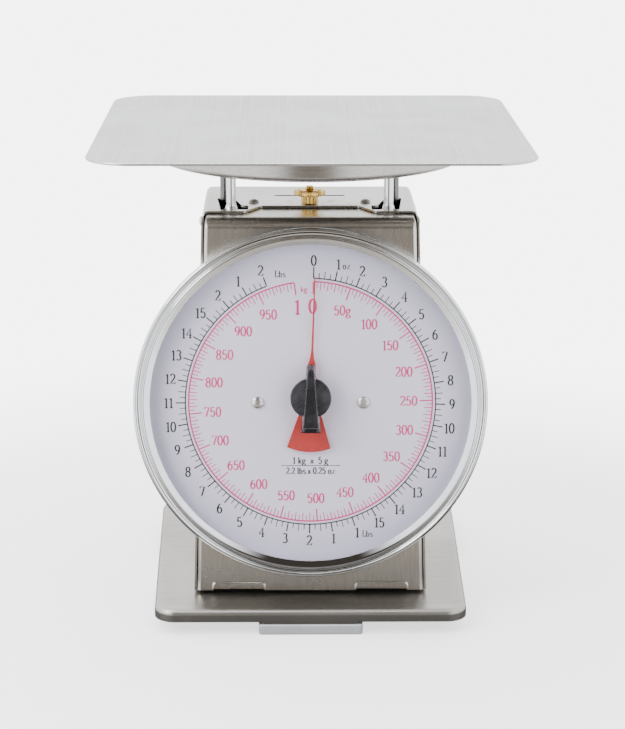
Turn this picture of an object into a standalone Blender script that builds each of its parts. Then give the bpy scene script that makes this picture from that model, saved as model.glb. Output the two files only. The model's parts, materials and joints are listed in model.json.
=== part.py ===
"""Stainless dial portion scale, 1 kg: sheet-metal case on a pressed base, a tilted dial, and a
platform on four pillars that hangs from two springs and drives the pointer by rack and pinion.

Metres, +Z up, front towards -Y. The origin is on the ground under the platform's centre."""

import math

import bmesh
import bpy
from mathutils import Matrix, Vector

MM = 0.001
GAP = 0.3 * MM  # clearance between pieces that touch on the real object
RUNNING = 0.15 * MM  # radial clearance of a turning shaft

# Platform and dish
HEIGHT = 231 * MM  # platform top above the ground
PLATFORM_SIDE = 200 * MM
PLATFORM_THICK = 1.2 * MM
PLATFORM_CORNER = 20 * MM
DISH_RADIUS = 76.5 * MM
DISH_DEPTH = 12.7 * MM
DISH_WALL = 1.0 * MM
DISH_EDGE = 3.0 * MM

# Case
BODY_TOP = 193.5 * MM
BODY_BOTTOM = 13.0 * MM
BODY_HALF_TOP = 50.0 * MM  # half width of the front panel at the top
BODY_HALF_BOTTOM = 54.8 * MM
BODY_REAR = 45.0 * MM
COVER_THICK = 1.0 * MM
SHELL_THICK = 0.9 * MM
SHELL_DEPTH = 37 * MM  # how far the front shell's flanges reach back
SHELL_ROLL = 5.0 * MM
SHELL_SIDE_ROLL = 2.0 * MM
EAR_CHAMFER = 4 * MM  # at the cover sides' top front corners
COVER_SETBACK = 1.2 * MM  # cover's front edge behind the panel's face
FLANGE_HALF = 28.9 * MM  # half width of the shell's top tongue
PLATE_FRONT = -19 * MM  # front edge of the cover's top plate at its sides
RECESS_FRONT = -6 * MM  # and in the middle, where it is cut back
RECESS_HALF = 23.5 * MM

# Dial
TILT = math.radians(6)
DIAL_HEIGHT = 107 * MM
DIAL_Y = -47 * MM
DIAL_PROUD = 7 * MM  # card face ahead of the front panel
BEZEL_RADIUS = 83.6 * MM
WINDOW_RADIUS = 75.6 * MM
LENS_RADIUS = 78.5 * MM
LENS_THICK = 1.5 * MM
LENS_BACK = 3.5 * MM
CARD_THICK = 0.6 * MM
PAN_RADIUS = 80.2 * MM
PAN_WALL = 1.0 * MM
DIAL_SCREW_X = 25 * MM
PIVOT_RISE = 3.5 * MM  # the pointer's shaft above the dial's centre

# Pointer and knob
POINTER_LENGTH = 56 * MM
POINTER_TAIL = 27 * MM
POINTER_FAN = math.radians(22.5)
POINTER_ANGLE = math.radians(-2)
POINTER_BACK = 2.0 * MM
POINTER_THICK = 0.4 * MM
KNOB_RADIUS = 9.7 * MM
KNOB_TRAVEL = 1.3 * MM
KNOB_GRIP_HEIGHT = 5.0 * MM

# Rack and pinion
MODULE = 0.4 * MM
PINION_TEETH = 8
PITCH_RADIUS = MODULE * PINION_TEETH / 2
TRAVEL = 10 * MM
SHAFT_RADIUS = 1.2 * MM
RACK_THICK = 2.6 * MM
RACK_DEPTH = -20 * MM  # middle of the rack behind the card's face
RACK_TEETH = 12

# Load carrier
PILLAR_RADIUS = 2.3 * MM
PILLAR_FRONT = (37.7 * MM, -7.5 * MM)
PILLAR_REAR = (41.2 * MM, 8.5 * MM)
CARRIER_TOP = 172 * MM
CARRIER_THICK = 2 * MM
CARRIER_HALF = 44 * MM
STRIP_THICK = 1.5 * MM
STRIP_FRONT = -5 * MM
STRIP_REAR = 13 * MM
STRIP_BOTTOM = 92 * MM
CROSSBAR_TOP = 108 * MM
CROSSBAR_TALL = 8 * MM
CROSSBAR_THICK = 2 * MM

# Stays, which keep the carrier upright
STAY_REAR_Y = 38 * MM
STAY_FRONT_Y = 9 * MM
STAY_RISE = TRAVEL / 2
STAY_LEVELS = {"upper": 155 * MM, "lower": 93 * MM}  # height of each rear pivot
STAY_ARM_X = 28 * MM
STAY_THICK = 1.5 * MM
STAY_EYE = 4 * MM
PIN_RADIUS = 1.5 * MM
PIN_PLAY = 0.6 * MM  # open pivot at the carrier

# Springs and zero adjuster
SPRING_X = 14 * MM
SPRING_RADIUS = 4 * MM
SPRING_WIRE = 0.5 * MM
SPRING_TURNS = 7
HOOK_RADIUS = 2.4 * MM
HOOK_HOLE = 1.6 * MM
HOOK_LAND = 1.4 * MM  # metal between a hook's hole and the bar's edge
HANGER_BOTTOM = 176 * MM
HANGER_TALL = 8 * MM
HANGER_HALF = 20 * MM
HANGER_THICK = 2 * MM
STUD_RADIUS = 2.0 * MM
NUT_RADIUS = 7.65 * MM
NUT_HUB_RADIUS = 4.2 * MM
NUT_HUB_TALL = 4.0 * MM
NUT_DISC_TALL = 2.6 * MM

# Base
BASE_TOP = 12 * MM
BASE_THICK = 1.2 * MM
BASE_RIM = 5.7 * MM
BASE_FRONT = -73.5 * MM
BASE_REAR = 85 * MM
BASE_HALF_FRONT = 74.2 * MM
BASE_HALF_REAR = 78.4 * MM
BASE_CORNER = 10 * MM
BASE_EDGE = 2.5 * MM
TAB_HALF = 22.5 * MM
TAB_DROP = 1.0 * MM
TAB_INSET = 0.15 * MM
FOOT_HALF = 24.7 * MM
FOOT_DEPTH = 11 * MM
FOOT_TALL = 5.0 * MM

# Screws, bushes, bracket and knob parts
TOP_SCREW = (27 * MM, 2.5 * MM)
SIDE_SCREW = (-6 * MM, 186 * MM)
REAR_SCREW_LEVELS = {"upper": 140 * MM, "lower": 110 * MM}
SCREW_RADIUS = 1.3 * MM
SCREW_HOLE = 1.7 * MM
BASE_SCREW_X = 47 * MM
BASE_SCREW_Y = 14 * MM
SHELL_TOP = BODY_TOP - COVER_THICK - GAP
ARM_TOP = 94 * MM
ARM_THICK = 1.5 * MM
BUSH_RADIUS = 3.4 * MM
BRACKET_DEEP = 20 * MM
BRACKET_LOW = -8 * MM
BRACKET_HIGH = 12 * MM
SHAFT_END = 2.7 * MM
SLEEVE_RADIUS = 3.3 * MM
STEM_RADIUS = 1.9 * MM
SLOT_HALF = 1.5 * MM  # half length of the top plate's short slits
SLIT_X = 10 * MM
SLIT_FRONT = 4.4 * MM
SLIT_REAR = 5.2 * MM
FLANGE_WIDE = 1.3 * MM  # of the knob's sleeve
NEEDLE_ROOT = 27 * MM
NECK_AT = 14 * MM

ROUND_STEPS = 60  # of a large turned piece
SMALL_STEPS = 16
SCREW_STEPS = 12

STEEL = (0.62, 0.61, 0.58)
CHROME = (0.82, 0.82, 0.83)
BRASS = (0.72, 0.52, 0.20)
BLACK = (0.02, 0.02, 0.022)
RED = (0.72, 0.10, 0.07)
CARD = (0.74, 0.72, 0.77)
WHITE = (0.78, 0.79, 0.80)
GLASS = (0.92, 0.93, 0.95)

part = bpy.data.collections.new("dial_scale")
helpers = bpy.data.collections.new("cutters")


def clear_scene():
    for obj in list(bpy.data.objects):
        bpy.data.objects.remove(obj)
    bpy.context.scene.collection.children.link(part)
    bpy.context.scene.collection.children.link(helpers)


def finish(obj, colour, roughness=0.35, metallic=1.0):
    """Gives a piece a material of its own."""
    material = bpy.data.materials.new(obj.name)
    material.use_nodes = True
    shader = material.node_tree.nodes["Principled BSDF"]
    shader.inputs["Base Color"].default_value = (*colour, 1)
    shader.inputs["Roughness"].default_value = roughness
    shader.inputs["Metallic"].default_value = metallic
    obj.data.materials.clear()
    obj.data.materials.append(material)
    return obj


def frame(name, location, rotation=(0, 0, 0)):
    """An empty that places the pieces of one sub-assembly."""
    empty = bpy.data.objects.new(name, None)
    empty.location = location
    empty.rotation_euler = rotation
    empty.empty_display_size = 0.01
    part.objects.link(empty)
    return empty


def new_object(name, mesh_or_curve, parent=None, location=(0, 0, 0), home=None):
    obj = bpy.data.objects.new(name, mesh_or_curve)
    obj.location = location
    obj.parent = parent
    (home or part).objects.link(obj)
    return obj


def mesh_object(name, bm, parent=None, location=(0, 0, 0), home=None):
    """An object from a bmesh, with its normals outward and its round faces smooth."""
    bmesh.ops.recalc_face_normals(bm, faces=bm.faces)
    mesh = bpy.data.meshes.new(name)
    bm.to_mesh(mesh)
    bm.free()
    mesh.shade_smooth()
    mesh.set_sharp_from_angle(angle=math.radians(35))
    return new_object(name, mesh, parent, location, home)


def box(name, low, high, parent=None, home=None, bevel=0.0):
    bm = bmesh.new()
    bmesh.ops.create_cube(bm, size=1)
    low, high = Vector(low), Vector(high)
    bmesh.ops.scale(bm, vec=high - low, verts=bm.verts)
    bmesh.ops.translate(bm, vec=(high + low) / 2, verts=bm.verts)
    if bevel:
        round_edges(bm, bm.edges[:], bevel, 2)
    return mesh_object(name, bm, parent, home=home)


def round_edges(bm, edges, radius, segments):
    bmesh.ops.bevel(
        bm, geom=edges, offset=radius, segments=segments, profile=0.5, affect="EDGES"
    )


def rod(name, radius, start, end, axis="Z", at=(0, 0), parent=None, home=None, steps=SMALL_STEPS):
    """A cylinder from start to end along an axis; `at` holds its other two coordinates in order."""
    bm = bmesh.new()
    bmesh.ops.create_cone(
        bm, cap_ends=True, segments=steps, radius1=radius, radius2=radius, depth=end - start
    )
    middle = (start + end) / 2
    if axis == "X":
        turn, centre = Matrix.Rotation(math.pi / 2, 4, "Y"), (middle, *at)
    elif axis == "Y":
        turn, centre = Matrix.Rotation(math.pi / 2, 4, "X"), (at[0], middle, at[1])
    else:
        turn, centre = Matrix.Identity(4), (*at, middle)
    bmesh.ops.transform(bm, matrix=Matrix.Translation(centre) @ turn, verts=bm.verts)
    return mesh_object(name, bm, parent, home=home)


def turned(name, profile, parent=None, location=(0, 0, 0), steps=ROUND_STEPS, closed=True):
    """A solid of revolution about Z. The profile is (radius, height) points; an open one starts
    and ends on the axis."""
    ring = profile + profile[:1]
    area = sum(a[0] * b[1] - b[0] * a[1] for a, b in zip(ring, ring[1:]))
    points = profile if area < 0 else profile[::-1]
    bm = bmesh.new()
    verts = [bm.verts.new((r, 0, z)) for r, z in points]
    for a, b in zip(verts, verts[1:]):
        bm.edges.new((a, b))
    if closed:
        bm.edges.new((verts[-1], verts[0]))
    mesh = bpy.data.meshes.new(name)
    bm.to_mesh(mesh)
    bm.free()
    obj = new_object(name, mesh, parent, location)
    screw = obj.modifiers.new("turn", "SCREW")
    screw.steps = steps
    screw.render_steps = steps
    screw.use_merge_vertices = True
    screw.merge_threshold = 1e-6
    screw.use_smooth_shade = True
    return obj


def prism(name, outline, low, high, axis="Z", parent=None, home=None):
    """A flat outline extruded from low to high. Its two coordinates are the axes left over, in
    order: XY for Z, XZ for Y and YZ for X."""
    place = {
        "Z": lambda a, b, c: (a, b, c),
        "Y": lambda a, b, c: (a, c, b),
        "X": lambda a, b, c: (c, a, b),
    }[axis]
    bm = bmesh.new()
    face = bm.faces.new([bm.verts.new(place(a, b, low)) for a, b in outline])
    grown = bmesh.ops.extrude_face_region(bm, geom=[face])["geom"]
    top = [item for item in grown if isinstance(item, bmesh.types.BMVert)]
    shift = Vector(place(0, 0, high - low))
    bmesh.ops.translate(bm, vec=shift, verts=top)
    return mesh_object(name, bm, parent, home=home)


def arc(centre, radius, start, end, steps):
    """Points on an arc, angles in degrees."""
    angles = [math.radians(start + (end - start) * k / steps) for k in range(steps + 1)]
    return [(centre[0] + radius * math.cos(a), centre[1] + radius * math.sin(a)) for a in angles]


def rounded_corners(corners, radius, steps=6):
    """The outline with each convex corner, given anticlockwise, replaced by an arc."""
    outline = []
    count = len(corners)
    for k in range(count):
        before, here, after = (Vector(corners[(k + j) % count]) for j in (-1, 0, 1))
        back, ahead = (before - here).normalized(), (after - here).normalized()
        half = back.angle(ahead) / 2
        centre = here + (back + ahead).normalized() * radius / math.sin(half)
        first = here + back * radius / math.tan(half) - centre
        sweep = math.pi - 2 * half
        for j in range(steps + 1):
            turn = Matrix.Rotation(sweep * j / steps, 2)
            outline.append(tuple(centre + turn @ first))
    return outline


def cut(obj, *cutters, operation="DIFFERENCE"):
    """Cuts each helper from a piece, or joins it on."""
    for helper in cutters:
        helper.hide_render = True
        helper.display_type = "WIRE"
        if helper.name in part.objects:
            part.objects.unlink(helper)
            helpers.objects.link(helper)
        modifier = obj.modifiers.new(helper.name, "BOOLEAN")
        modifier.operation = operation
        modifier.solver = "EXACT"
        modifier.object = helper
    return obj


def join(obj, *others):
    return cut(obj, *others, operation="UNION")


def panel_y(z):
    """Y of the front panel's face at a height."""
    face_y = DIAL_Y + DIAL_PROUD * math.cos(TILT)
    face_z = DIAL_HEIGHT - DIAL_PROUD * math.sin(TILT)
    return face_y + (z - face_z) * math.tan(TILT)


def body_half(z):
    """Half width of the front panel at a height."""
    share = (BODY_TOP - z) / (BODY_TOP - BODY_BOTTOM)
    return BODY_HALF_TOP + (BODY_HALF_BOTTOM - BODY_HALF_TOP) * share


def tapered_shell(name, top, half_extra, front_shift, rear, open_sides, rounded, thick):
    """An open box that follows the case's taper and tilt, given a wall. `rear` gives the rear
    edge's Y at a height, and `rounded` picks the edges that are rolled, with their radii."""
    bm = bmesh.new()
    bmesh.ops.create_cube(bm, size=2)
    for vert in bm.verts:
        side, back, up = vert.co
        z = top if up > 0 else BODY_BOTTOM
        y = rear(z) if back > 0 else panel_y(z) + front_shift
        vert.co = (math.copysign(body_half(z) + half_extra, side), y, z)
    bm.normal_update()
    gone = [f for f in bm.faces if any(f.normal.dot(Vector(d)) > 0.9 for d in open_sides)]
    bmesh.ops.delete(bm, geom=gone, context="FACES")
    for radius, wanted in rounded:
        bm.normal_update()
        edges = [e for e in bm.edges if wanted(e)]
        round_edges(bm, edges, radius, 3)
    obj = mesh_object(name, bm)
    wall = obj.modifiers.new("wall", "SOLIDIFY")
    wall.thickness = thick
    wall.offset = -1
    wall.use_even_offset = True
    return obj


def edge_between(*normals):
    """Tests for the edge shared by faces that point these ways."""
    wanted = [Vector(n) for n in normals]

    def test(edge):
        faces = edge.link_faces
        return len(faces) == 2 and all(
            any(f.normal.dot(w) > 0.9 for f in faces) for w in wanted
        )

    return test


def edge_of(normal):
    """Tests for the edges of the wall that faces this way, other than its open ones."""
    wanted = Vector(normal)

    def test(edge):
        faces = edge.link_faces
        return len(faces) == 2 and any(f.normal.dot(wanted) > 0.9 for f in faces)

    return test


LEFT, RIGHT, FRONT, REAR, UP, DOWN = (
    (-1, 0, 0), (1, 0, 0), (0, -1, 0), (0, 1, 0), (0, 0, 1), (0, 0, -1)
)


def pillar_opening(side):
    """The angular hole in the top plate that one side's pillars pass through."""
    front, rear = PILLAR_FRONT, PILLAR_REAR
    outline = [
        (rear[0] + 3.8 * MM, rear[1] + 3.5 * MM),
        (rear[0] - 3.4 * MM, rear[1] + 3.5 * MM),
        (front[0] - 2.6 * MM, rear[1] - 4 * MM),
        (front[0] - 4.7 * MM, front[1] + 2.8 * MM),
        (FLANGE_HALF + 0.5 * MM, front[1] + 1.5 * MM),
        (FLANGE_HALF + 0.5 * MM, front[1] - 8 * MM),
        (front[0] + 4.9 * MM, front[1] - 8 * MM),
    ]
    return [(side * x, y) for x, y in outline]


def make_front_shell(dial, pivot):
    shell = tapered_shell(
        "front_shell",
        SHELL_TOP,
        0,
        0,
        lambda z: panel_y(z) + SHELL_DEPTH,
        (REAR, DOWN),
        [
            (SHELL_ROLL, edge_between(FRONT, UP)),
            (SHELL_SIDE_ROLL, edge_of(LEFT)),
            (SHELL_SIDE_ROLL, edge_of(RIGHT)),
        ],
        SHELL_THICK,
    )
    under = SHELL_TOP - 3 * MM
    over = SHELL_TOP + 3 * MM
    for side, word in ((-1, "left"), (1, "right")):
        near, far = side * FLANGE_HALF, side * (BODY_HALF_TOP - 3 * MM)
        cut(
            shell,
            box(
                f"cut_flange_{word}",
                (min(near, far), PLATE_FRONT + 1.5 * MM, under),
                (max(near, far), 20 * MM, over),
            ),
            rod(
                f"cut_shell_top_screw_{word}", SCREW_HOLE - GAP, under, over,
                at=(side * TOP_SCREW[0], TOP_SCREW[1]),
            ),
            rod(
                f"cut_panel_screw_{word}", SCREW_HOLE, -12 * MM, -5 * MM,
                at=(side * DIAL_SCREW_X, 0), parent=dial,
            ),
        )
    cut(
        shell,
        rod("cut_shell_stud", STUD_RADIUS + 2 * GAP, under, over),
        rod("cut_panel_bush", BUSH_RADIUS + GAP, -12 * MM, -5 * MM, parent=pivot),
        rod("cut_shell_side_screws", SCREW_HOLE, -60 * MM, 60 * MM, axis="X", at=SIDE_SCREW),
    )
    return finish(shell, STEEL)


def make_rear_cover():
    extra = COVER_THICK + GAP
    cover = tapered_shell(
        "rear_cover",
        BODY_TOP,
        extra,
        COVER_SETBACK,
        lambda z: BODY_REAR,
        (FRONT, DOWN),
        [
            (
                3 * MM,
                lambda e: edge_between(UP, LEFT)(e)
                or edge_between(UP, RIGHT)(e)
                or edge_between(UP, REAR)(e)
                or edge_between(LEFT, REAR)(e)
                or edge_between(RIGHT, REAR)(e),
            )
        ],
        COVER_THICK,
    )
    low, high = BODY_TOP - 2.5 * MM, BODY_TOP + 2 * MM
    side = BODY_HALF_TOP + GAP / 2
    notch = RECESS_HALF + 7.5 * MM
    recess = [
        (-side, -70 * MM), (side, -70 * MM), (side, PLATE_FRONT), (notch, PLATE_FRONT),
        (RECESS_HALF, RECESS_FRONT), (-RECESS_HALF, RECESS_FRONT), (-notch, PLATE_FRONT),
        (-side, PLATE_FRONT),
    ]
    front = panel_y(BODY_TOP) + COVER_SETBACK
    corner = [
        (front - 2 * MM, BODY_TOP - EAR_CHAMFER - 2 * MM),
        (front + EAR_CHAMFER + 2 * MM, BODY_TOP + 2 * MM),
        (front - 2 * MM, BODY_TOP + 2 * MM),
    ]
    cut(
        cover,
        prism("cut_ears", corner, -70 * MM, 70 * MM, axis="X"),
        prism("cut_recess", recess, low, high),
        rod("cut_stud", STUD_RADIUS + 2 * GAP, low, high),
        box("cut_slot", (-17.5 * MM, 18.2 * MM, low), (17.5 * MM, 19.8 * MM, high)),
        rod("cut_side_screws", SCREW_HOLE, -70 * MM, 70 * MM, axis="X", at=SIDE_SCREW),
    )
    for way, word in ((-1, "left"), (1, "right")):
        cut(
            cover,
            prism(f"cut_opening_{word}", pillar_opening(way), low, high),
            rod(f"cut_top_screw_{word}", SCREW_HOLE, low, high, at=(way * TOP_SCREW[0], TOP_SCREW[1])),
            box(
                f"cut_slit_{word}",
                (way * SLIT_X - SLOT_HALF, SLIT_FRONT, low),
                (way * SLIT_X + SLOT_HALF, SLIT_REAR, high),
            ),
        )
    for word, z in REAR_SCREW_LEVELS.items():
        cut(cover, rod(f"cut_rear_screw_{word}", SCREW_HOLE, 40 * MM, 50 * MM, axis="Y", at=(0, z)))
    return finish(cover, STEEL)


def screw_profile(head_radius, head_tall, length, radius=SCREW_RADIUS):
    """A dome-headed screw, head up, with the underside of its head at height 0."""
    return [
        (0, -length),
        (radius, -length),
        (radius, 0),
        (head_radius, 0),
        (head_radius, head_tall * 0.35),
        (head_radius * 0.75, head_tall * 0.85),
        (0, head_tall),
    ]


def make_screw(name, location, rotation, head_radius, head_tall, length, parent=None, radius=SCREW_RADIUS):
    screw = turned(
        name, screw_profile(head_radius, head_tall, length, radius), parent, location,
        SCREW_STEPS, closed=False
    )
    screw.rotation_euler = rotation
    return finish(screw, CHROME, 0.25)


def make_case_screws():
    for side, word in ((-1, "left"), (1, "right")):
        make_screw(
            f"top_screw_{word}", (side * TOP_SCREW[0], TOP_SCREW[1], BODY_TOP + GAP), (0, 0, 0),
            2.7 * MM, 1.2 * MM, 5 * MM, radius=SCREW_RADIUS - 0.2 * MM,
        )
        y, z = SIDE_SCREW
        outside = body_half(z) + COVER_THICK + 2 * GAP
        make_screw(
            f"side_screw_{word}", (side * outside, y, z), (0, side * math.pi / 2, 0),
            2.5 * MM, 1.5 * MM, 4 * MM,
        )
        make_screw(
            f"base_screw_{word}", (side * BASE_SCREW_X, BASE_SCREW_Y, BASE_TOP - BASE_THICK - GAP),
            (math.pi, 0, 0), 3.2 * MM, 1.6 * MM, 5 * MM,
        )
    for word, z in REAR_SCREW_LEVELS.items():
        make_screw(
            f"rear_screw_{word}", (0, BODY_REAR + GAP, z), (-math.pi / 2, 0, 0),
            3 * MM, 1.5 * MM, 5 * MM,
        )


def make_base():
    corners = [
        (-BASE_HALF_FRONT, BASE_FRONT),
        (BASE_HALF_FRONT, BASE_FRONT),
        (BASE_HALF_REAR, BASE_REAR),
        (-BASE_HALF_REAR, BASE_REAR),
    ]
    outline = rounded_corners(corners, BASE_CORNER)
    bm = bmesh.new()
    face = bm.faces.new([bm.verts.new((x, y, BASE_TOP)) for x, y in outline])
    crest = list(face.edges)
    walls = bmesh.ops.extrude_edge_only(bm, edges=crest)["geom"]
    low = [item for item in walls if isinstance(item, bmesh.types.BMVert)]
    bmesh.ops.translate(bm, vec=(0, 0, -BASE_RIM), verts=low)
    crest = [e for e in bm.edges if all(v.co.z > BASE_TOP - 1e-6 for v in e.verts)]
    round_edges(bm, crest, BASE_EDGE, 4)
    base = mesh_object("base_pan", bm)
    wall = base.modifiers.new("wall", "SOLIDIFY")
    wall.thickness = BASE_THICK
    wall.offset = -1
    for side, word in ((-1, "left"), (1, "right")):
        cut(
            base,
            rod(
                f"cut_base_screw_{word}", SCREW_HOLE, BASE_TOP - 3 * MM, BASE_TOP + 3 * MM,
                at=(side * BASE_SCREW_X, BASE_SCREW_Y),
            ),
        )
    for word, (outward, edge) in foot_places().items():
        tab = box(
            f"tab_{word}",
            (-TAB_HALF, TAB_INSET, BASE_TOP - BASE_RIM - TAB_DROP),
            (TAB_HALF, BASE_THICK - TAB_INSET, BASE_TOP - BASE_RIM + 1.5 * MM),
        )
        tab.location = edge
        tab.rotation_euler = (0, 0, outward)
        join(base, tab)
    finish(base, STEEL)


def foot_places():
    """For each foot, the turn that puts its outward face on its side, and the point on the rim."""
    middle = (BASE_FRONT + BASE_REAR) / 2
    half = (BASE_HALF_FRONT + BASE_HALF_REAR) / 2
    slope = math.atan((BASE_HALF_REAR - BASE_HALF_FRONT) / (BASE_REAR - BASE_FRONT))
    return {
        "front": (0, (0, BASE_FRONT, 0)),
        "right": (math.pi / 2 - slope, (half, middle, 0)),
        "rear": (math.pi, (0, BASE_REAR, 0)),
        "left": (-math.pi / 2 + slope, (-half, middle, 0)),
    }


def make_feet():
    under = BASE_TOP - BASE_THICK - GAP
    inside = BASE_THICK + GAP + 0.4 * MM
    for word, (outward, edge) in foot_places().items():
        holder = frame(f"place_foot_{word}", edge, (0, 0, outward))
        foot = box(
            f"foot_{word}", (-FOOT_HALF, -0.6 * MM, 0), (FOOT_HALF, FOOT_DEPTH, FOOT_TALL),
            holder, bevel=0.8 * MM,
        )
        block = box(
            f"block_{word}",
            (-TAB_HALF + MM, inside, FOOT_TALL - MM),
            (TAB_HALF - MM, FOOT_DEPTH - 3 * MM, under),
            holder,
        )
        join(foot, block)
        finish(foot, WHITE, 0.5, 0)


def make_base_brackets():
    """Angle brackets that hold the case down on the base."""
    tall = 22 * MM
    outer = body_half(BASE_TOP + tall) - 0.5 * MM
    floor = BASE_TOP + GAP
    for side, word in ((-1, "left"), (1, "right")):
        outline = [
            (outer, floor), (outer, floor + tall), (outer - 1.2 * MM, floor + tall),
            (outer - 1.2 * MM, floor + 1.2 * MM), (42 * MM, floor + 1.2 * MM), (42 * MM, floor),
        ]
        bracket = prism(
            f"base_bracket_{word}", [(side * x, z) for x, z in outline], -5 * MM, 33 * MM, axis="Y"
        )
        cut(
            bracket,
            rod(
                f"cut_bracket_{word}", SCREW_HOLE, floor - 2 * MM, floor + 4 * MM,
                at=(side * BASE_SCREW_X, BASE_SCREW_Y),
            ),
        )
        finish(bracket, STEEL)


def make_platform():
    side = PLATFORM_SIDE / 2
    outline = rounded_corners([(-side, -side), (side, -side), (side, side), (-side, side)], PLATFORM_CORNER)
    platform = prism("platform", outline, HEIGHT - PLATFORM_THICK, HEIGHT)
    soft = platform.modifiers.new("soft_edge", "BEVEL")
    soft.width = 0.4 * MM
    soft.segments = 2
    soft.limit_method = "ANGLE"
    soft.angle_limit = math.radians(60)
    finish(platform, STEEL)

    top = HEIGHT - PLATFORM_THICK - GAP
    bottom = dish_bottom()
    outer = arc((DISH_RADIUS - DISH_EDGE, bottom + DISH_EDGE), DISH_EDGE, -90, 0, 3)
    inner = arc((DISH_RADIUS - DISH_EDGE, bottom + DISH_EDGE), DISH_EDGE - DISH_WALL, 0, -90, 2)
    profile = [
        (0, bottom), *outer, (DISH_RADIUS, top), (DISH_RADIUS - DISH_WALL, top), *inner,
        (0, bottom + DISH_WALL),
    ]
    finish(turned("platform_dish", profile, closed=False), STEEL)


def dish_bottom():
    return HEIGHT - PLATFORM_THICK - GAP - DISH_DEPTH


def make_pillars():
    low, high = CARRIER_TOP + GAP, dish_bottom() - GAP
    collar = BODY_TOP + 1 * MM
    for side, side_word in ((-1, "left"), (1, "right")):
        for (x, y), word in ((PILLAR_FRONT, "front"), (PILLAR_REAR, "rear")):
            profile = [(0, low), (PILLAR_RADIUS, low)]
            if word == "front":
                profile += [
                    (PILLAR_RADIUS, collar - 4.5 * MM),
                    (3.6 * MM, collar - 4 * MM),
                    (3.2 * MM, collar - 2.5 * MM),
                    (PILLAR_RADIUS, collar),
                ]
            profile += [(PILLAR_RADIUS, high), (0, high)]
            pillar = turned(
                f"pillar_{word}_{side_word}", profile, location=(side * x, y, 0),
                steps=SMALL_STEPS, closed=False
            )
            finish(pillar, CHROME, 0.08)


def make_carrier():
    low = CARRIER_TOP - CARRIER_THICK
    plate = box("carrier_top", (-CARRIER_HALF, -11 * MM, low), (CARRIER_HALF, STRIP_REAR, CARRIER_TOP))
    window = box("cut_window", (-22 * MM, -8 * MM, low - MM), (22 * MM, 7 * MM, CARRIER_TOP + MM))
    finish(cut(plate, window), STEEL)
    inner = CARRIER_HALF - STRIP_THICK - 0.5 * MM
    for side, word in ((-1, "left"), (1, "right")):
        near, far = side * inner, side * (inner + STRIP_THICK)
        strip = box(
            f"carrier_side_{word}",
            (min(near, far), STRIP_FRONT, STRIP_BOTTOM),
            (max(near, far), STRIP_REAR, low - GAP),
        )
        finish(strip, STEEL)
    reach = inner - GAP
    crossbar = box(
        "carrier_crossbar",
        (-reach, -CROSSBAR_THICK / 2, CROSSBAR_TOP - CROSSBAR_TALL),
        (reach, CROSSBAR_THICK / 2, CROSSBAR_TOP),
    )
    hole = CROSSBAR_TOP - HOOK_LAND - HOOK_HOLE
    for side, word in ((-1, "left"), (1, "right")):
        at = (side * SPRING_X, hole)
        cut(crossbar, rod(f"cut_crossbar_{word}", HOOK_HOLE, -3 * MM, 3 * MM, axis="Y", at=at))
    finish(crossbar, STEEL)
    for word, level in STAY_LEVELS.items():
        at = (STAY_FRONT_Y, level + STAY_RISE)
        pin = rod(f"stay_pin_{word}", PIN_RADIUS, -reach, reach, axis="X", at=at)
        finish(pin, CHROME, 0.2)


def make_rack(dial):
    """The rack in the dial's tilted frame, and the bracket that carries it on the crossbar."""
    pitch = math.pi * MODULE
    root, tip = PITCH_RADIUS + 0.45 * MM, PITCH_RADIUS - 0.35 * MM
    back = root + 3 * MM
    low = -10 * MM
    first = PIVOT_RISE - 2.5 * pitch
    rack_end = first + RACK_TEETH * pitch + MM
    outline = [(back, low), (back, rack_end), (root, rack_end)]
    for k in reversed(range(RACK_TEETH)):
        middle = first + k * pitch
        outline += [
            (root, middle + 0.31 * MM), (tip, middle + 0.11 * MM),
            (tip, middle - 0.11 * MM), (root, middle - 0.31 * MM),
        ]
    outline.append((root, low))
    rack = prism("rack", outline, RACK_DEPTH - RACK_THICK / 2, RACK_DEPTH + RACK_THICK / 2, parent=dial)
    finish(rack, STEEL, 0.3)

    rear = -CROSSBAR_THICK / 2 - GAP
    front = DIAL_Y - RACK_DEPTH * math.cos(TILT) - 6 * MM
    outline = [
        (rear, ARM_TOP - ARM_THICK), (rear, CROSSBAR_TOP - MM), (rear - ARM_THICK, CROSSBAR_TOP - MM),
        (rear - ARM_THICK, ARM_TOP), (front, ARM_TOP), (front, ARM_TOP - ARM_THICK),
    ]
    finish(prism("rack_bracket", outline, -4 * MM, 12 * MM, axis="X"), STEEL)


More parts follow.
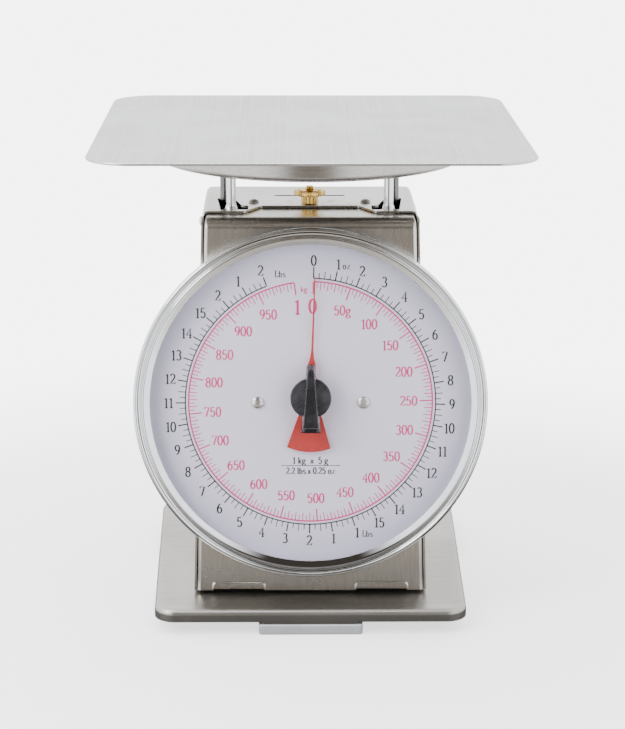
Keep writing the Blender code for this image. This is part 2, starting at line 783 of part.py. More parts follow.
def make_gear_bracket(dial, pivot):
    """A hat-section bracket behind the front panel, which holds the rear bush."""
    face = -DIAL_PROUD - SHELL_THICK - 0.4 * MM
    thick = 1.5 * MM
    half, foot = 18 * MM, 31 * MM
    right = [
        (half, face - BRACKET_DEEP), (half, face - thick), (foot, face - thick), (foot, face),
        (half - thick, face), (half - thick, face - BRACKET_DEEP + thick),
    ]
    outline = right + [(-x, w) for x, w in reversed(right)]
    bracket = prism("gear_bracket", outline, BRACKET_LOW, BRACKET_HIGH, axis="Y", parent=dial)
    rear_face = face - BRACKET_DEEP
    bore = rod("cut_rear_bush", BUSH_RADIUS + GAP, rear_face - 2 * MM, rear_face + 4 * MM, parent=pivot)
    cut(bracket, bore)
    for side, word in ((-1, "left"), (1, "right")):
        cut(
            bracket,
            rod(
                f"cut_bracket_screw_{word}", SCREW_HOLE, face - 4 * MM, face + MM,
                at=(side * DIAL_SCREW_X, 0), parent=dial,
            ),
        )
    finish(bracket, STEEL)

    bore = SHAFT_RADIUS + RUNNING
    for name, start, end, flange in (
        ("front_bush", -DIAL_PROUD - 3.5 * MM, -DIAL_PROUD + GAP, -DIAL_PROUD + 1.5 * MM),
        ("rear_bush", rear_face + thick + MM, rear_face - GAP, rear_face - 1.5 * MM),
    ):
        profile = [
            (bore, start), (BUSH_RADIUS, start), (BUSH_RADIUS, end), (BUSH_RADIUS + 1.2 * MM, end),
            (BUSH_RADIUS + 1.2 * MM, flange), (bore, flange),
        ]
        finish(turned(name, profile, pivot, steps=SMALL_STEPS), BRASS, 0.3)
    return rear_face


def pinion_outline():
    outline = []
    root, tip = PITCH_RADIUS - 0.6 * MM, PITCH_RADIUS + 0.35 * MM
    step = 2 * math.pi / PINION_TEETH
    for k in range(PINION_TEETH):
        for radius, width in ((root, -0.5 * MM), (PITCH_RADIUS, -0.4 * MM), (tip, -0.2 * MM),
                              (tip, 0.2 * MM), (PITCH_RADIUS, 0.4 * MM), (root, 0.5 * MM)):
            angle = k * step + width / (2 * radius)
            outline.append((radius * math.cos(angle), radius * math.sin(angle)))
    return outline


def make_shaft(pivot, rear_face):
    low = RACK_DEPTH - RACK_THICK / 2 - 2.7 * MM
    high = RACK_DEPTH + RACK_THICK / 2 + 1.7 * MM
    lap = 0.1 * MM
    shaft = prism("pinion_shaft", pinion_outline(), low, high, parent=pivot)
    join(
        shaft,
        rod("shaft_rear", SHAFT_RADIUS, rear_face - 3 * MM, low + lap, parent=pivot),
        rod("shaft_front", SHAFT_RADIUS, high - lap, SHAFT_END, parent=pivot),
        rod("shaft_collar", 2.4 * MM, -14 * MM, -12 * MM, parent=pivot),
    )
    finish(shaft, CHROME, 0.2)


def make_dial(dial, pivot):
    floor = -CARD_THICK - 0.4 * MM
    rear = -DIAL_PROUD + GAP
    pan = turned(
        "dial_pan",
        [
            (9 * MM, floor), (PAN_RADIUS - 0.4 * MM, floor), (PAN_RADIUS, floor - 0.4 * MM),
            (PAN_RADIUS, rear),
            (PAN_RADIUS - PAN_WALL, rear), (PAN_RADIUS - PAN_WALL, floor - PAN_WALL),
            (9 * MM, floor - PAN_WALL),
        ],
        dial,
    )
    card = rod("dial_card", LENS_RADIUS + 0.3 * MM, -CARD_THICK, 0, parent=dial, steps=ROUND_STEPS)
    cut(card, rod("cut_card_pivot", 2.6 * MM, -2 * MM, 2 * MM, parent=pivot))
    for side, word in ((-1, "left"), (1, "right")):
        at = (side * DIAL_SCREW_X, 0)
        cut(pan, rod(f"cut_pan_screw_{word}", SCREW_HOLE, -4 * MM, MM, at=at, parent=dial))
        cut(card, rod(f"cut_card_screw_{word}", SCREW_HOLE, -2 * MM, MM, at=at, parent=dial))
        make_screw(f"dial_screw_{word}", (*at, GAP), (0, 0, 0), 2.6 * MM, 1.1 * MM, 13 * MM, dial)
    finish(pan, STEEL)
    finish(card, CARD, 0.4, 0)

    lens = rod("lens", LENS_RADIUS, LENS_BACK, LENS_BACK + LENS_THICK, parent=dial, steps=ROUND_STEPS)
    cut(lens, rod("cut_lens", SLEEVE_RADIUS + GAP, 2 * MM, 7 * MM, parent=pivot))
    finish(lens, GLASS, 0.05, 0)
    low, high = GAP, LENS_BACK - GAP
    inner = LENS_RADIUS - 1.6 * MM
    ring = [(inner, low), (LENS_RADIUS, low), (LENS_RADIUS, high), (inner, high)]
    finish(turned("lens_ring", ring, dial), WHITE, 0.5, 0)
    make_bezel(dial)


def make_bezel(dial):
    """A rolled ring: an inner cone down to the lens, a lip, a crease and a round outer roll."""
    seat = LENS_BACK + LENS_THICK + 0.35 * MM
    inside = PAN_RADIUS + 0.7 * MM
    lip_radius, lip = WINDOW_RADIUS + 3 * MM, seat + 3 * MM
    skirt = -5.6 * MM
    profile = [
        (WINDOW_RADIUS, seat),
        (WINDOW_RADIUS + 0.9 * MM, seat + 1.4 * MM),
        (lip_radius - 0.9 * MM, lip - 0.45 * MM),
        (lip_radius, lip),
        (lip_radius + 0.6 * MM, lip - 0.15 * MM),
        (lip_radius + 0.9 * MM, lip - 0.8 * MM),
        (lip_radius + 1.5 * MM, lip - 0.4 * MM),
        (lip_radius + 2.4 * MM, lip - 0.4 * MM),
        (BEZEL_RADIUS - 0.5 * MM, lip - 1.2 * MM),
        (BEZEL_RADIUS, lip - 2.7 * MM),
        (BEZEL_RADIUS - 0.1 * MM, lip - 4.8 * MM),
        (BEZEL_RADIUS - 0.6 * MM, lip - 7.2 * MM),
        (inside + 0.9 * MM, skirt),
        (inside, skirt),
        (inside, seat + 0.2 * MM),
        (inside - 1.2 * MM, seat + 1.0 * MM),
        (lip_radius - 0.6 * MM, seat + 0.9 * MM),
        (WINDOW_RADIUS + 1.4 * MM, seat),
    ]
    finish(turned("bezel_ring", profile, dial), CHROME, 0.1)


def pointer_outline():
    """Needle, hub and fan-shaped counterweight as one flat outline, pointing up."""
    needle, neck, hub = 0.45 * MM, 2.0 * MM, 3.6 * MM
    spread = math.degrees(POINTER_FAN)
    tail = arc((0, 0), POINTER_TAIL, -90 - spread, -90 + spread, 12)
    right = [
        (hub, -3.5 * MM), (hub, 3.5 * MM), (neck, NECK_AT), (needle, NEEDLE_ROOT),
        (needle * 0.6, POINTER_LENGTH),
    ]
    left = [(-x, y) for x, y in reversed(right)]
    return tail + right + left


def make_pointer(pivot):
    pointer = prism("pointer", pointer_outline(), POINTER_BACK, POINTER_BACK + POINTER_THICK, parent=pivot)
    pointer.rotation_euler = (0, 0, POINTER_ANGLE)
    boss_radius = 2.2 * MM
    cut(pointer, rod("cut_pointer", boss_radius + GAP, 0, 4 * MM, parent=pivot))
    finish(pointer, RED, 0.4, 0)
    bore = SHAFT_RADIUS + RUNNING
    top = SHAFT_END + 0.2 * MM
    boss = [(bore, 0.5 * MM), (boss_radius, 0.5 * MM), (boss_radius, top), (bore, top)]
    finish(turned("pointer_boss", boss, pivot, steps=SMALL_STEPS), BRASS, 0.3)


def make_knob(pivot):
    lens_front = LENS_BACK + LENS_THICK
    bore = STEM_RADIUS + RUNNING
    flange_top = lens_front + 0.9 * MM
    sleeve = [
        (bore, LENS_BACK - 0.3 * MM), (SLEEVE_RADIUS, LENS_BACK - 0.3 * MM),
        (SLEEVE_RADIUS, lens_front + GAP), (SLEEVE_RADIUS + FLANGE_WIDE, lens_front + GAP),
        (SLEEVE_RADIUS + FLANGE_WIDE, flange_top), (bore, flange_top),
    ]
    finish(turned("knob_sleeve", sleeve, pivot, steps=SMALL_STEPS), BLACK, 0.4, 0)
    inner = SLEEVE_RADIUS + FLANGE_WIDE + GAP
    washer = [
        (inner, lens_front + GAP), (inner + 1.6 * MM, lens_front + GAP),
        (inner + 1.6 * MM, lens_front + 2 * GAP), (inner, lens_front + 2 * GAP),
    ]
    finish(turned("knob_spring", washer, pivot, steps=SMALL_STEPS), CHROME, 0.3)

    back = flange_top + KNOB_TRAVEL + 0.2 * MM
    front = back + 1.2 * MM
    disc = [
        (0, back), (KNOB_RADIUS, back), (KNOB_RADIUS, front - 0.4 * MM),
        (KNOB_RADIUS - 0.4 * MM, front), (0, front),
    ]
    knob = turned("knob", disc, pivot, steps=36, closed=False)
    join(knob, make_grip(pivot, back, front + KNOB_GRIP_HEIGHT))
    socket_top = back + 3 * MM
    cut(knob, rod("cut_knob_stem", STEM_RADIUS + GAP, back - MM, socket_top, parent=pivot))
    finish(knob, BLACK, 0.35, 0)
    stem_low = SHAFT_END + 0.2 * MM + KNOB_TRAVEL + 0.2 * MM
    stem = rod("knob_stem", STEM_RADIUS, stem_low, socket_top - GAP, parent=pivot)
    finish(stem, BLACK, 0.4, 0)


def make_grip(pivot, back, front):
    """The wedge-shaped grip bar: narrow at the top, wide at its sloped lower end."""
    sections = {
        back: ((15.8, 1.9), (-16.7, 4.85)),
        front: ((14.8, 1.5), (-13.3, 3.65)),
    }
    bm = bmesh.new()
    rings = []
    for w, ((top, top_half), (bottom, bottom_half)) in sections.items():
        corners = [(-top_half, top), (top_half, top), (bottom_half, bottom), (-bottom_half, bottom)]
        rings.append([bm.verts.new((x * MM, y * MM, w)) for x, y in corners])
    bm.faces.new(rings[0])
    bm.faces.new(rings[1])
    for k in range(4):
        j = (k + 1) % 4
        bm.faces.new((rings[0][k], rings[0][j], rings[1][j], rings[1][k]))
    return mesh_object("grip", bm, pivot)


def hook_centre(edge, inward):
    """Height of a hook ring's centre, round the land between a bar's edge and its hook hole."""
    return edge + inward * HOOK_LAND / 2


def spring_points():
    """A path from the lower hook, up the coil, to the upper hook, in (x, y, z) about its axis."""
    low = hook_centre(CROSSBAR_TOP, -1)
    high = hook_centre(HANGER_BOTTOM, 1)
    points = [
        (0, HOOK_RADIUS * math.cos(math.radians(a)), low + HOOK_RADIUS * math.sin(math.radians(a)))
        for a in range(-180, 91, 45)
    ]
    coil_low, coil_high = low + HOOK_RADIUS + 2.5 * MM, high - HOOK_RADIUS - 2.5 * MM
    per_turn = 8
    count = SPRING_TURNS * per_turn
    for k in range(count + 1):
        angle = -math.pi / 2 + 2 * math.pi * k / per_turn
        z = coil_low + (coil_high - coil_low) * k / count
        points.append((SPRING_RADIUS * math.cos(angle), SPRING_RADIUS * math.sin(angle), z))
    points += [
        (0, HOOK_RADIUS * math.cos(math.radians(a)), high + HOOK_RADIUS * math.sin(math.radians(a)))
        for a in range(-90, 181, 45)
    ]
    return points


def make_springs():
    for side, word in ((-1, "left"), (1, "right")):
        curve = bpy.data.curves.new(f"spring_{word}", "CURVE")
        curve.dimensions = "3D"
        curve.bevel_depth = SPRING_WIRE
        curve.bevel_resolution = 2
        curve.use_fill_caps = True
        points = spring_points()
        spline = curve.splines.new("POLY")
        spline.points.add(len(points) - 1)
        for point, co in zip(spline.points, points):
            point.co = (*co, 1)
        spring = new_object(f"spring_{word}", curve, location=(side * SPRING_X, 0, 0))
        finish(spring, STEEL, 0.3)


def make_zero_adjuster():
    top = HANGER_BOTTOM + HANGER_TALL
    hanger = box(
        "spring_hanger",
        (-HANGER_HALF, -HANGER_THICK / 2, HANGER_BOTTOM),
        (HANGER_HALF, HANGER_THICK / 2, top),
    )
    hole = HANGER_BOTTOM + HOOK_LAND + HOOK_HOLE
    for side, word in ((-1, "left"), (1, "right")):
        at = (side * SPRING_X, hole)
        cut(hanger, rod(f"cut_hanger_{word}", HOOK_HOLE, -3 * MM, 3 * MM, axis="Y", at=at))
    finish(hanger, STEEL)
    hub = BODY_TOP + GAP
    disc = hub + NUT_HUB_TALL
    nut_top = disc + NUT_DISC_TALL
    finish(rod("zero_stud", STUD_RADIUS, top + GAP, nut_top + 1.6 * MM), BRASS, 0.3)
    bore = STUD_RADIUS + RUNNING
    soft = 0.3 * MM
    profile = [
        (bore, hub), (NUT_HUB_RADIUS, hub), (NUT_HUB_RADIUS, disc), (NUT_RADIUS - soft, disc),
        (NUT_RADIUS, disc + soft), (NUT_RADIUS, nut_top - soft), (NUT_RADIUS - soft, nut_top),
        (bore, nut_top),
    ]
    finish(turned("zero_nut", profile, steps=SMALL_STEPS), BRASS, 0.25)


def link_outline(start, end, radius):
    """A stadium round two pivots, in the YZ plane."""
    lean = math.degrees(math.atan2(end[1] - start[1], end[0] - start[0]))
    return arc(start, radius, lean + 90, lean + 270, 8) + arc(end, radius, lean - 90, lean + 90, 8)


def make_stays():
    for word, level in STAY_LEVELS.items():
        rear = (STAY_REAR_Y, level)
        front = (STAY_FRONT_Y, level + STAY_RISE)
        outline = link_outline(rear, front, STAY_EYE)
        inner, outer = STAY_ARM_X, STAY_ARM_X + STAY_THICK
        stay = prism(f"{word}_stay", outline, inner, outer, axis="X")
        other = prism(f"{word}_stay_arm", outline, -outer, -inner, axis="X")
        share = 0.35
        y = rear[0] + (front[0] - rear[0]) * share
        z = rear[1] + (front[1] - rear[1]) * share
        web_half, web_deep, web_tall = outer - 0.2 * MM, 5 * MM, 0.75 * MM
        low_corner = (-web_half, y - web_deep, z - web_tall)
        web = box(f"{word}_stay_web", low_corner, (web_half, y + web_deep, z + web_tall))
        join(stay, other, web)
        cut(
            stay,
            rod(f"cut_{word}_rear", PIN_RADIUS + RUNNING, -40 * MM, 40 * MM, axis="X", at=rear),
            rod(f"cut_{word}_front", PIN_RADIUS + PIN_PLAY, -40 * MM, 40 * MM, axis="X", at=front),
        )
        finish(stay, STEEL)


def make_rear_bracket():
    """A channel on the rear wall whose ears hold the stays' rear pins."""
    back = BODY_REAR - COVER_THICK - GAP
    ear_in = STAY_ARM_X + STAY_THICK + 0.8 * MM
    thick = 1.5 * MM
    front = STAY_REAR_Y - 5 * MM
    low, high = STAY_LEVELS["lower"] - 6 * MM, STAY_LEVELS["upper"] + 6 * MM
    right = [(ear_in + thick, back), (ear_in + thick, front), (ear_in, front), (ear_in, back - thick)]
    outline = right + [(-x, y) for x, y in reversed(right)]
    bracket = prism("rear_bracket", outline, low, high)
    for word, level in STAY_LEVELS.items():
        at = (STAY_REAR_Y, level)
        cut(bracket, rod(f"cut_ear_{word}", PIN_RADIUS + GAP, -50 * MM, 50 * MM, axis="X", at=at))
        reach = ear_in + thick + MM
        finish(rod(f"rear_pin_{word}", PIN_RADIUS, -reach, reach, axis="X", at=at), CHROME, 0.2)
    for word, z in REAR_SCREW_LEVELS.items():
        cut(bracket, rod(f"cut_bracket_{word}", SCREW_HOLE, 35 * MM, 50 * MM, axis="Y", at=(0, z)))
    finish(bracket, STEEL)


def main():
    clear_scene()
    lean = (math.pi / 2 - TILT, 0, 0)
    dial = frame("dial_frame", (0, DIAL_Y, DIAL_HEIGHT), lean)
    pivot_at = (0, DIAL_Y + PIVOT_RISE * math.sin(TILT), DIAL_HEIGHT + PIVOT_RISE * math.cos(TILT))
    pivot = frame("pivot_frame", pivot_at, lean)
    make_base()
    make_feet()
    make_base_brackets()
    make_front_shell(dial, pivot)
    make_rear_cover()
    make_case_screws()
    make_rear_bracket()
    make_stays()
    make_platform()
    make_pillars()
    make_carrier()
    make_rack(dial)
    rear_face = make_gear_bracket(dial, pivot)
    make_shaft(pivot, rear_face)
    make_dial(dial, pivot)
    make_pointer(pivot)
    make_knob(pivot)
    make_zero_adjuster()
    make_springs()


main()
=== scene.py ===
"""Looks of a stainless dial portion scale: smooth sheet metal, plated rings, a printed dial behind
a clear lens, and a plain studio. Shapes are drawn in millimetres and placed in the frame's metres."""
import json
import logging
import math
from dataclasses import dataclass, field
from enum import Enum
from typing import Callable, Iterable, Sequence

import bmesh
import bpy
from mathutils import Matrix, Vector


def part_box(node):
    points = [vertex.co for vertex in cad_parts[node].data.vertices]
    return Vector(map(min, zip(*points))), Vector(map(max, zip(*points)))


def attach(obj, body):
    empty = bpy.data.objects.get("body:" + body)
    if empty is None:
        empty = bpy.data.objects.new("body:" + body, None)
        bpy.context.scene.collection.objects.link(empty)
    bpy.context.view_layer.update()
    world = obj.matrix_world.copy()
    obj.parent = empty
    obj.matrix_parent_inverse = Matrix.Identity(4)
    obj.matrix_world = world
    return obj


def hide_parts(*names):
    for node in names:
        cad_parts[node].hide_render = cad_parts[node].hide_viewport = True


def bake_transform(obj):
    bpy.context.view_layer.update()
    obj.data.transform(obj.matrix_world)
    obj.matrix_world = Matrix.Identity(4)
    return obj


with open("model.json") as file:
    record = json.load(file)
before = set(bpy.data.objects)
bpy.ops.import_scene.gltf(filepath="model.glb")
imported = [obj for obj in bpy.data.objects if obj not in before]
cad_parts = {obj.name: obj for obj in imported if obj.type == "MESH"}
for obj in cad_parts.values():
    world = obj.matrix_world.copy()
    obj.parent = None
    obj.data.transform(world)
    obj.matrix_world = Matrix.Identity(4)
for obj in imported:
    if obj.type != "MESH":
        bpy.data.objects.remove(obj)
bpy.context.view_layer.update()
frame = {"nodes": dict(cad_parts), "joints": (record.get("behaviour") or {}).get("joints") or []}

MM = 0.001
GAP = 0.3
MERGE = 1e-4
HOLE_STEPS = 24
SCREW_HOLE = 1.7
DIAL_SCREW_X = 25.0
BASE_SCREW = (47.0, 14.0, 10.5)

Point = tuple[float, float]
Colour = tuple[float, float, float]
log = logging.getLogger("dial_scale")


class Grain(Enum):
    """The way the brushing runs on a sheet."""

    FRONT_TO_BACK = (1.0, 0.004, 1.0)
    UPRIGHT = (1.0, 1.0, 0.004)
    ACROSS = (0.004, 1.0, 1.0)


class Side(Enum):
    """Left or right of the scale, seen from the front."""

    LEFT = -1
    RIGHT = 1

    @property
    def word(self) -> str:
        """The side's name as piece names spell it."""
        return self.name.lower()

    def at(self, x: float, *others: float) -> tuple[float, ...]:
        """A point on this side, given as it is on the right."""
        return (self.value * x, *others)


# ---------------------------------------------------------------- shapes


def arc(centre: Point, radii: Point, start: float, end: float, steps: int) -> list[Point]:
    """Points along an arc of an ellipse.

    Args:
        centre: Its centre.
        radii: Its two radii.
        start: First angle in degrees, anticlockwise from +X.
        end: Last angle in degrees.
        steps: How many chords it has.

    Returns:
        The points, both ends included.
    """
    angles = [math.radians(start + (end - start) * k / steps) for k in range(steps + 1)]
    return [(centre[0] + radii[0] * math.cos(a), centre[1] + radii[1] * math.sin(a)) for a in angles]


def filleted(
    corners: Sequence[tuple[float, float, float]], steps: int = 6, closed: bool = True
) -> list[Point]:
    """An outline whose corners are rounded.

    Args:
        corners: Each corner's two coordinates and its radius, which may be 0.
        steps: Chords in each arc.
        closed: Whether the last corner joins the first.

    Returns:
        The outline's points.
    """
    points: list[Point] = []
    count = len(corners)
    for k, (x, y, radius) in enumerate(corners):
        here = Vector((x, y))
        at_end = not closed and k in (0, count - 1)
        if radius <= 0 or at_end:
            points.append((x, y))
            continue
        back = Vector(corners[k - 1][:2]) - here
        ahead = Vector(corners[(k + 1) % count][:2]) - here
        half = back.angle(ahead) / 2
        reach = min(radius / math.tan(half), back.length * 0.499, ahead.length * 0.499)
        first, last = here + back.normalized() * reach, here + ahead.normalized() * reach
        centre = here + (back.normalized() + ahead.normalized()).normalized() * reach / math.cos(half)
        a, b = first - centre, last - centre
        sweep = a.angle_signed(b)
        for j in range(steps + 1):
            turned = Matrix.Rotation(-sweep * j / steps, 2) @ a
            points.append(tuple(centre + turned))
    return points


class Solid:
    """A shape in millimetres, built with bmesh operators."""

    def __init__(self) -> None:
        """Starts empty."""
        self.bm = bmesh.new()

    @classmethod
    def turned(cls, profile: Sequence[Point], steps: int = 96, ring: bool = True) -> "Solid":
        """A solid of revolution about Z.

        Args:
            profile: (radius, height) points.
            steps: Facets round the axis.
            ring: True joins the last point to the first; False is a profile whose ends lie on the axis.

        Returns:
            The closed solid.
        """
        solid = cls()
        verts = [solid.bm.verts.new((r, 0.0, z)) for r, z in profile]
        pairs = list(zip(verts, verts[1:]))
        if ring:
            pairs.append((verts[-1], verts[0]))
        edges = [solid.bm.edges.new(pair) for pair in pairs]
        bmesh.ops.spin(
            solid.bm, geom=verts + edges, cent=(0, 0, 0), axis=(0, 0, 1), dvec=(0, 0, 0),
            angle=math.tau, steps=steps, use_merge=True, use_normal_flip=False, use_duplicate=False,
        )
        return solid.closed_up()

    @classmethod
    def slab(cls, outline: Sequence[Point], low: float, high: float) -> "Solid":
        """A flat outline in XY with a thickness from low to high."""
        solid = cls()
        face = solid.bm.faces.new([solid.bm.verts.new((x, y, low)) for x, y in outline])
        grown = bmesh.ops.extrude_face_region(solid.bm, geom=[face])["geom"]
        lid = [item for item in grown if isinstance(item, bmesh.types.BMVert)]
        bmesh.ops.translate(solid.bm, vec=(0, 0, high - low), verts=lid)
        return solid.closed_up()

    @classmethod
    def block(cls, low: Sequence[float], high: Sequence[float]) -> "Solid":
        """A box between two corners."""
        solid = cls()
        bmesh.ops.create_cube(solid.bm, size=1.0)
        low_corner, high_corner = Vector(low), Vector(high)
        bmesh.ops.scale(solid.bm, vec=high_corner - low_corner, verts=solid.bm.verts)
        bmesh.ops.translate(solid.bm, vec=(high_corner + low_corner) / 2, verts=solid.bm.verts)
        return solid

    @classmethod
    def rod(cls, radius: float, low: float, high: float, steps: int = 32, at: Point = (0, 0)) -> "Solid":
        """A plain cylinder along Z."""
        rod = cls.turned([(0, low), (radius, low), (radius, high), (0, high)], steps, ring=False)
        return rod.moved(Matrix.Translation((*at, 0)))

    @classmethod
    def hole(cls, radius: float, low: float, high: float, at: Point = (0, 0)) -> "Solid":
        """A small cutter along Z."""
        return cls.rod(radius, low, high, HOLE_STEPS, at)

    def closed_up(self) -> "Solid":
        """Merges doubles and points the faces outwards."""
        bmesh.ops.remove_doubles(self.bm, verts=self.bm.verts, dist=MERGE)
        bmesh.ops.recalc_face_normals(self.bm, faces=self.bm.faces)
        return self

    def moved(self, matrix: Matrix) -> "Solid":
        """Applies a place in millimetres."""
        bmesh.ops.transform(self.bm, matrix=matrix, verts=self.bm.verts)
        if matrix.determinant() < 0:
            bmesh.ops.reverse_faces(self.bm, faces=self.bm.faces)
        return self

    def softened(
        self, wanted: Callable[[bmesh.types.BMEdge], bool], radius: float, segments: int = 3
    ) -> "Solid":
        """Rounds the edges that the test picks."""
        self.bm.normal_update()
        edges = [edge for edge in self.bm.edges if wanted(edge)]
        bmesh.ops.bevel(
            self.bm, geom=edges, offset=radius, segments=segments, profile=0.5, affect="EDGES",
            material=-1, clamp_overlap=True,
        )
        return self

    def minus(self, *others: "Solid") -> "Solid":
        """Cuts other shapes away."""
        return self._combined(others, "DIFFERENCE")

    def plus(self, *others: "Solid") -> "Solid":
        """Joins other shapes on."""
        return self._combined(others, "UNION")

    def _combined(self, others: Sequence["Solid"], operation: str) -> "Solid":
        """Runs exact Booleans through temporary objects."""
        base = temporary(self.bm, "work")
        helpers = [temporary(other.bm, "helper") for other in others]
        for helper in helpers:
            modifier = base.modifiers.new("combine", "BOOLEAN")
            modifier.operation = operation
            modifier.solver = "EXACT"
            modifier.object = helper
        self._read_back(base, *helpers)
        bmesh.ops.remove_doubles(self.bm, verts=self.bm.verts, dist=MERGE)
        return self

    def thickened(self, wall: float, even: bool) -> "Solid":
        """Gives an open sheet a wall, laid inwards; even keeps it the same at corners."""
        sheet = temporary(self.bm, "sheet")
        thicken = sheet.modifiers.new("wall", "SOLIDIFY")
        thicken.thickness = wall
        thicken.offset = -1
        thicken.use_even_offset = even
        self._read_back(sheet)
        return self

    def _read_back(self, worked: bpy.types.Object, *helpers: bpy.types.Object) -> None:
        """Takes a temporary object's finished mesh as the shape, then removes the temporary objects."""
        bpy.context.view_layer.update()
        graph = bpy.context.evaluated_depsgraph_get()
        mesh = bpy.data.meshes.new_from_object(worked.evaluated_get(graph))
        self.bm.free()
        self.bm = bmesh.new()
        self.bm.from_mesh(mesh)
        bpy.data.meshes.remove(mesh)
        for obj in (worked, *helpers):
            data = obj.data
            bpy.data.objects.remove(obj)
            bpy.data.meshes.remove(data)


def temporary(bm: bmesh.types.BMesh, name: str) -> bpy.types.Object:
    """A throwaway object that holds a bmesh's shape."""
    mesh = bpy.data.meshes.new(name)
    bm.to_mesh(mesh)
    obj = bpy.data.objects.new(name, mesh)
    bpy.context.scene.collection.objects.link(obj)
    return obj


def is_sharp(degrees: float) -> Callable[[bmesh.types.BMEdge], bool]:
    """A test for edges that turn by more than an angle."""
    limit = math.radians(degrees)
    return lambda edge: len(edge.link_faces) == 2 and edge.calc_face_angle(0) > limit


def between(*normals: Sequence[float]) -> Callable[[bmesh.types.BMEdge], bool]:
    """A test for the edge shared by faces that point these ways."""
    wanted = [Vector(normal) for normal in normals]
    alike = 0.9

    def test(edge: bmesh.types.BMEdge) -> bool:
        faces = edge.link_faces
        return len(faces) == 2 and all(any(f.normal.dot(w) > alike for f in faces) for w in wanted)

    return test


# ---------------------------------------------------------------- finishes


class Nodes:
    """A node tree, and the steps that its values go through."""

    def __init__(self, tree: bpy.types.NodeTree) -> None:
        """Starts with the nodes that the tree already has.

        Args:
            tree: The tree of a material or of the world.
        """
        self.nodes = tree.nodes
        self.links = tree.links

    def ranged(self, value: bpy.types.NodeSocket, *numbers: float) -> bpy.types.NodeSocket:
        """A value mapped smoothly from one range (low, high) to another (low, high)."""
        node = self.nodes.new("ShaderNodeMapRange")
        node.interpolation_type = "SMOOTHSTEP"
        for index, number in enumerate(numbers, start=1):
            node.inputs[index].default_value = number
        self.links.new(value, node.inputs[0])
        return node.outputs[0]

    def math(
        self, operation: str, first: bpy.types.NodeSocket, second: object = 0.0
    ) -> bpy.types.NodeSocket:
        """One arithmetic step; the second value is a socket or a number."""
        node = self.nodes.new("ShaderNodeMath")
        node.operation = operation
        self.links.new(first, node.inputs[0])
        if isinstance(second, bpy.types.NodeSocket):
            self.links.new(second, node.inputs[1])
        else:
            node.inputs[1].default_value = second
        return node.outputs[0]

    def blended(self, value: bpy.types.NodeSocket, first: object, second: object) -> bpy.types.NodeSocket:
        """A colour between two, by a value; each is a socket or a plain colour."""
        node = self.nodes.new("ShaderNodeMix")
        node.data_type = "RGBA"
        self.links.new(value, node.inputs[0])
        for index, colour in ((6, first), (7, second)):
            if isinstance(colour, bpy.types.NodeSocket):
                self.links.new(colour, node.inputs[index])
            else:
                node.inputs[index].default_value = (*colour, 1.0)
        return node.outputs[2]


class Graph(Nodes):
    """A material's nodes."""

    def __init__(self, name: str) -> None:
        """Starts with one Principled shader.

        Args:
            name: The material's name.
        """
        self.material = bpy.data.materials.new(name)
        self.material.use_nodes = True
        super().__init__(self.material.node_tree)
        self.shader = self.nodes["Principled BSDF"]
        self.place = self.nodes.new("ShaderNodeTexCoord").outputs["Object"]

    def set(self, **values: object) -> None:
        """Sets constants on the shader's own sockets; underscores stand for spaces."""
        for name, value in values.items():
            socket = self.shader.inputs[name.replace("_", " ")]
            socket.default_value = (*value, 1.0) if isinstance(value, tuple) else value

    def feed(self, name: str, source: bpy.types.NodeSocket) -> None:
        """Links a value into one of the shader's sockets."""
        self.links.new(source, self.shader.inputs[name])

    def mapped(self, scale: Sequence[float], turn: Sequence[float] = (0, 0, 0)) -> bpy.types.NodeSocket:
        """Object coordinates, turned and scaled.

        Args:
            scale: Pattern repeats per metre along each axis.
            turn: Euler angles of the pattern.

        Returns:
            The vector socket.
        """
        mapping = self.nodes.new("ShaderNodeMapping")
        mapping.vector_type = "TEXTURE"
        mapping.inputs["Rotation"].default_value = turn
        mapping.inputs["Scale"].default_value = [1 / s for s in scale]
        self.links.new(self.place, mapping.inputs["Vector"])
        return mapping.outputs[0]

    def noise(
        self, vector: bpy.types.NodeSocket, detail: float, rough: float = 0.55
    ) -> bpy.types.NodeSocket:
        """A noise value from 0 to 1."""
        node = self.nodes.new("ShaderNodeTexNoise")
        node.inputs["Scale"].default_value = 1.0
        node.inputs["Detail"].default_value = detail
        node.inputs["Roughness"].default_value = rough
        self.links.new(vector, node.inputs["Vector"])
        return node.outputs["Fac"]

    def speckle(self, repeats: float, detail: float, rough: float = 0.55) -> bpy.types.NodeSocket:
        """Noise that is alike in every direction, by its repeats per metre."""
        return self.noise(self.mapped((repeats, repeats, repeats)), detail, rough)

    def bump(
        self, height: bpy.types.NodeSocket, depth: float, normal: bpy.types.NodeSocket | None = None
    ) -> bpy.types.NodeSocket:
        """A bumped normal, with the relief's depth in metres."""
        node = self.nodes.new("ShaderNodeBump")
        node.inputs["Strength"].default_value = 1.0
        node.inputs["Distance"].default_value = depth
        self.links.new(height, node.inputs["Height"])
        if normal is not None:
            self.links.new(normal, node.inputs["Normal"])
        return node.outputs[0]


class Finish:
    """What a surface is made of; each kind builds its material once."""

    made: dict = {}

    def material(self) -> bpy.types.Material:
        """The material, built the first time it is asked for."""
        if self not in Finish.made:
            Finish.made[self] = self.build(Graph(type(self).__name__.lower() + str(len(Finish.made))))
        return Finish.made[self]

    def build(self, graph: Graph) -> bpy.types.Material:
        """Fills the graph; each finish has its own."""
        raise NotImplementedError


